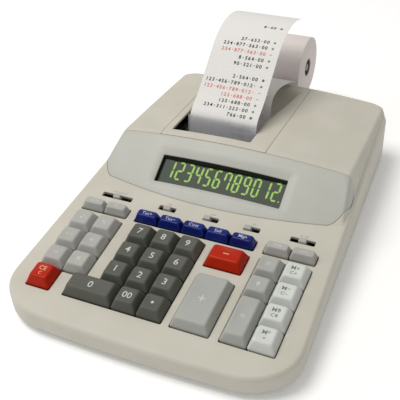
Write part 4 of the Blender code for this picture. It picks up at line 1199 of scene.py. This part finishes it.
def make_roll():
    """The wound paper and its core tube, each a closed profile turned about the axle."""
    x0, x1 = PAPER_X
    r = 0.35
    profile = [(x0, CORE_R), (x0, ROLL_R - r), (x0 + 0.1, ROLL_R - 0.1), (x0 + r, ROLL_R), (x1 - r, ROLL_R),
               (x1 - 0.1, ROLL_R - 0.1), (x1, ROLL_R - r), (x1, CORE_R)]
    piece("wound_roll", *skin_of_rings(turned_x(profile, ROLL_AT, 128), closed=True), "roll",
          body="paper_roll", slot="paper", stands_for=["paper_roll"])
    inner, outer = CORE_HOLE_R, CORE_R - 0.05
    tube = [(x0 + 0.3, inner), (x0 + 0.3, outer), (x1 - 0.3, outer), (x1 - 0.3, inner)]
    piece("roll_core", *skin_of_rings(turned_x(tube, ROLL_AT, 64), closed=True), "core", body="paper_roll",
          slot="paper")


def make_holder():
    """The roll's arm as an outline carried across its thickness with rounded edges, the turned axle,
    and the foot plate with its two screws."""
    x0, x1 = PAPER_X
    arm = rounded([(275.3, 18), (279, 18), (283, 25.5), (316, 40.5), (323, 45.5), (320.5, 57.5),
                   (309.5, 57.5), (283.5, 41), (279, 44), (275.3, 44)],
                  [0, 1.5, 7, 6, 6.5, 6.5, 6, 5, 1.5, 0], 2, 0.8)
    low, high = x0 - ARM_CLEARANCE - ARM_T, x0 - ARM_CLEARANCE
    levels = [(low + drop, depth) for depth, drop in fillet(0.8, 4)]
    levels += [(high - drop, depth) for depth, drop in fillet(0.8, 4)[::-1]]
    rings = [np.column_stack([np.full(len(arm), x), inset(arm, 0.02 + depth)]) for x, depth in levels]
    piece("roll_arm", *skin_of_rings(rings), "holder", slot="holder", stands_for=["roll_holder"])
    end = x1 - 2.5
    axle = [(x0 - 1.8, 1), (x0 - 1.8, AXLE_R), (end - 5, AXLE_R), (end - 4.3, AXLE_R - 0.4),
            (end - 4, AXLE_R - 1.2), (end - 4, 3.6), (end + 1.5, 3.4), (end + 2, 2.9), (end + 2, 0.4)]
    piece("roll_axle", *skin_of_rings(turned_x(axle, ROLL_AT, 64)), "holder", slot="holder")
    plate = rounded([(x0 - 14, 18.5), (x0 + 6, 18.5), (x0 + 6, 43.5), (x0 - 14, 43.5)], [2.5] * 4, 3, 0.8)
    near, far = PLATE_BACK
    rings = [np.column_stack([inset(plate, i)[:, 0], np.full(len(plate), back), inset(plate, i)[:, 1]])
             for back, i in ((near, 0), (far - 0.6, 0), (far - 0.15, 0.2), (far, 0.6))]
    piece("arm_foot_plate", *skin_of_rings(rings), "holder", slot="holder")
    for i, z in enumerate((23, 39)):
        rings = screw_rings((x0 - 9.5, z), 0, 1)[..., [0, 2, 1]] + (0, far, 0)
        piece(f"arm_screw_{i + 1}", *skin_of_rings(rings), "steel", slot="frame_metal")


# ---- stage ----


def make_camera():
    """A camera turned about Z to the right front, tilted down and rolled a little."""
    azimuth, elevation, roll = (math.radians(a) for a in (27.17, 40.08, -4.15))
    lens = bpy.data.cameras.new("camera")
    lens.lens, lens.sensor_width = 68.76, 36
    lens.shift_x, lens.shift_y = 0.0218, 0.0905
    camera = bpy.data.objects.new("camera", lens)
    turn = (Matrix.Rotation(azimuth, 4, "Z") @ Matrix.Rotation(math.pi / 2 - elevation, 4, "X")
            @ Matrix.Rotation(roll, 4, "Z"))
    camera.matrix_world = Matrix.Translation((0.1939, -0.4563, 0.3864)) @ turn
    bpy.context.scene.collection.objects.link(camera)
    bpy.context.scene.camera = camera


def soft_light(name, place, aim, size, power, code):
    """A round area light that looks from its place at its aim."""
    light = bpy.data.lights.new(name, "AREA")
    light.shape = "DISK"
    light.size = size
    light.energy = power
    light.color = linear(code)[:3]
    lamp = bpy.data.objects.new(name, light)
    lamp.location = place
    lamp.rotation_euler = (Vector(aim) - Vector(place)).to_track_quat("-Z", "Y").to_euler()
    bpy.context.scene.collection.objects.link(lamp)


def make_stage():
    """A wide pale floor that glows faintly, a white world, and two soft lights from the left."""
    floor_mesh = bpy.data.meshes.new("floor")
    reach = 6.0
    floor_mesh.from_pydata([(-reach, -reach, 0), (reach, -reach, 0), (reach, reach, 0), (-reach, reach, 0)],
                           [], [(0, 1, 2, 3)])
    floor = bpy.data.objects.new("floor", floor_mesh)
    bpy.context.scene.collection.objects.link(floor)
    paint, tree, shader, where = surface("floor_matt_pale", Roughness=0.9, Specular_IOR_Level=0.2,
                                         Emission_Color=linear("#FFFFFF"), Emission_Strength=0.12)
    mottled(tree, shader, where, 400, "#FCFCFC", "#FFFFFF")
    floor_mesh.materials.append(paint)
    world = bpy.data.worlds.new("studio")
    world.use_nodes = True
    sky = world.node_tree.nodes["Background"]
    sky.inputs["Color"].default_value = linear("#FFFFFF")
    sky.inputs["Strength"].default_value = 0.42
    bpy.context.scene.world = world
    soft_light("key_light", (-0.55, -0.1, 1.5), (0, 0.02, 0.03), 0.9, 15.5, "#FFFDF8")
    soft_light("left_fill", (-1.3, -0.5, 0.7), (0, 0, 0.03), 1.0, 2, "#F4F7FF")
    bpy.context.scene.view_settings.view_transform = "Standard"


def finish_kept_nodes():
    """The CAD nodes that stay in view or inside get their own finishes."""
    finishes = {"display_window": "pane", "display_tube": "dark_plastic", "main_board": "board",
                "dome_mat": "silicone", "printer_frame": "steel"}
    for name, finish in finishes.items():
        mesh = frame["nodes"][name].data
        mesh.materials.clear()
        mesh.materials.append(MATERIALS[finish])


make_camera()
make_stage()
make_top_shell()
make_fascia()
make_window_collar()
make_printer_cover()
make_base()
make_feet_and_screws()
make_keys()
make_switches()
make_deck_legends()
make_digits()
make_paper()
make_tear_window()
make_printer()
make_roll()
make_holder()
finish_kept_nodes()
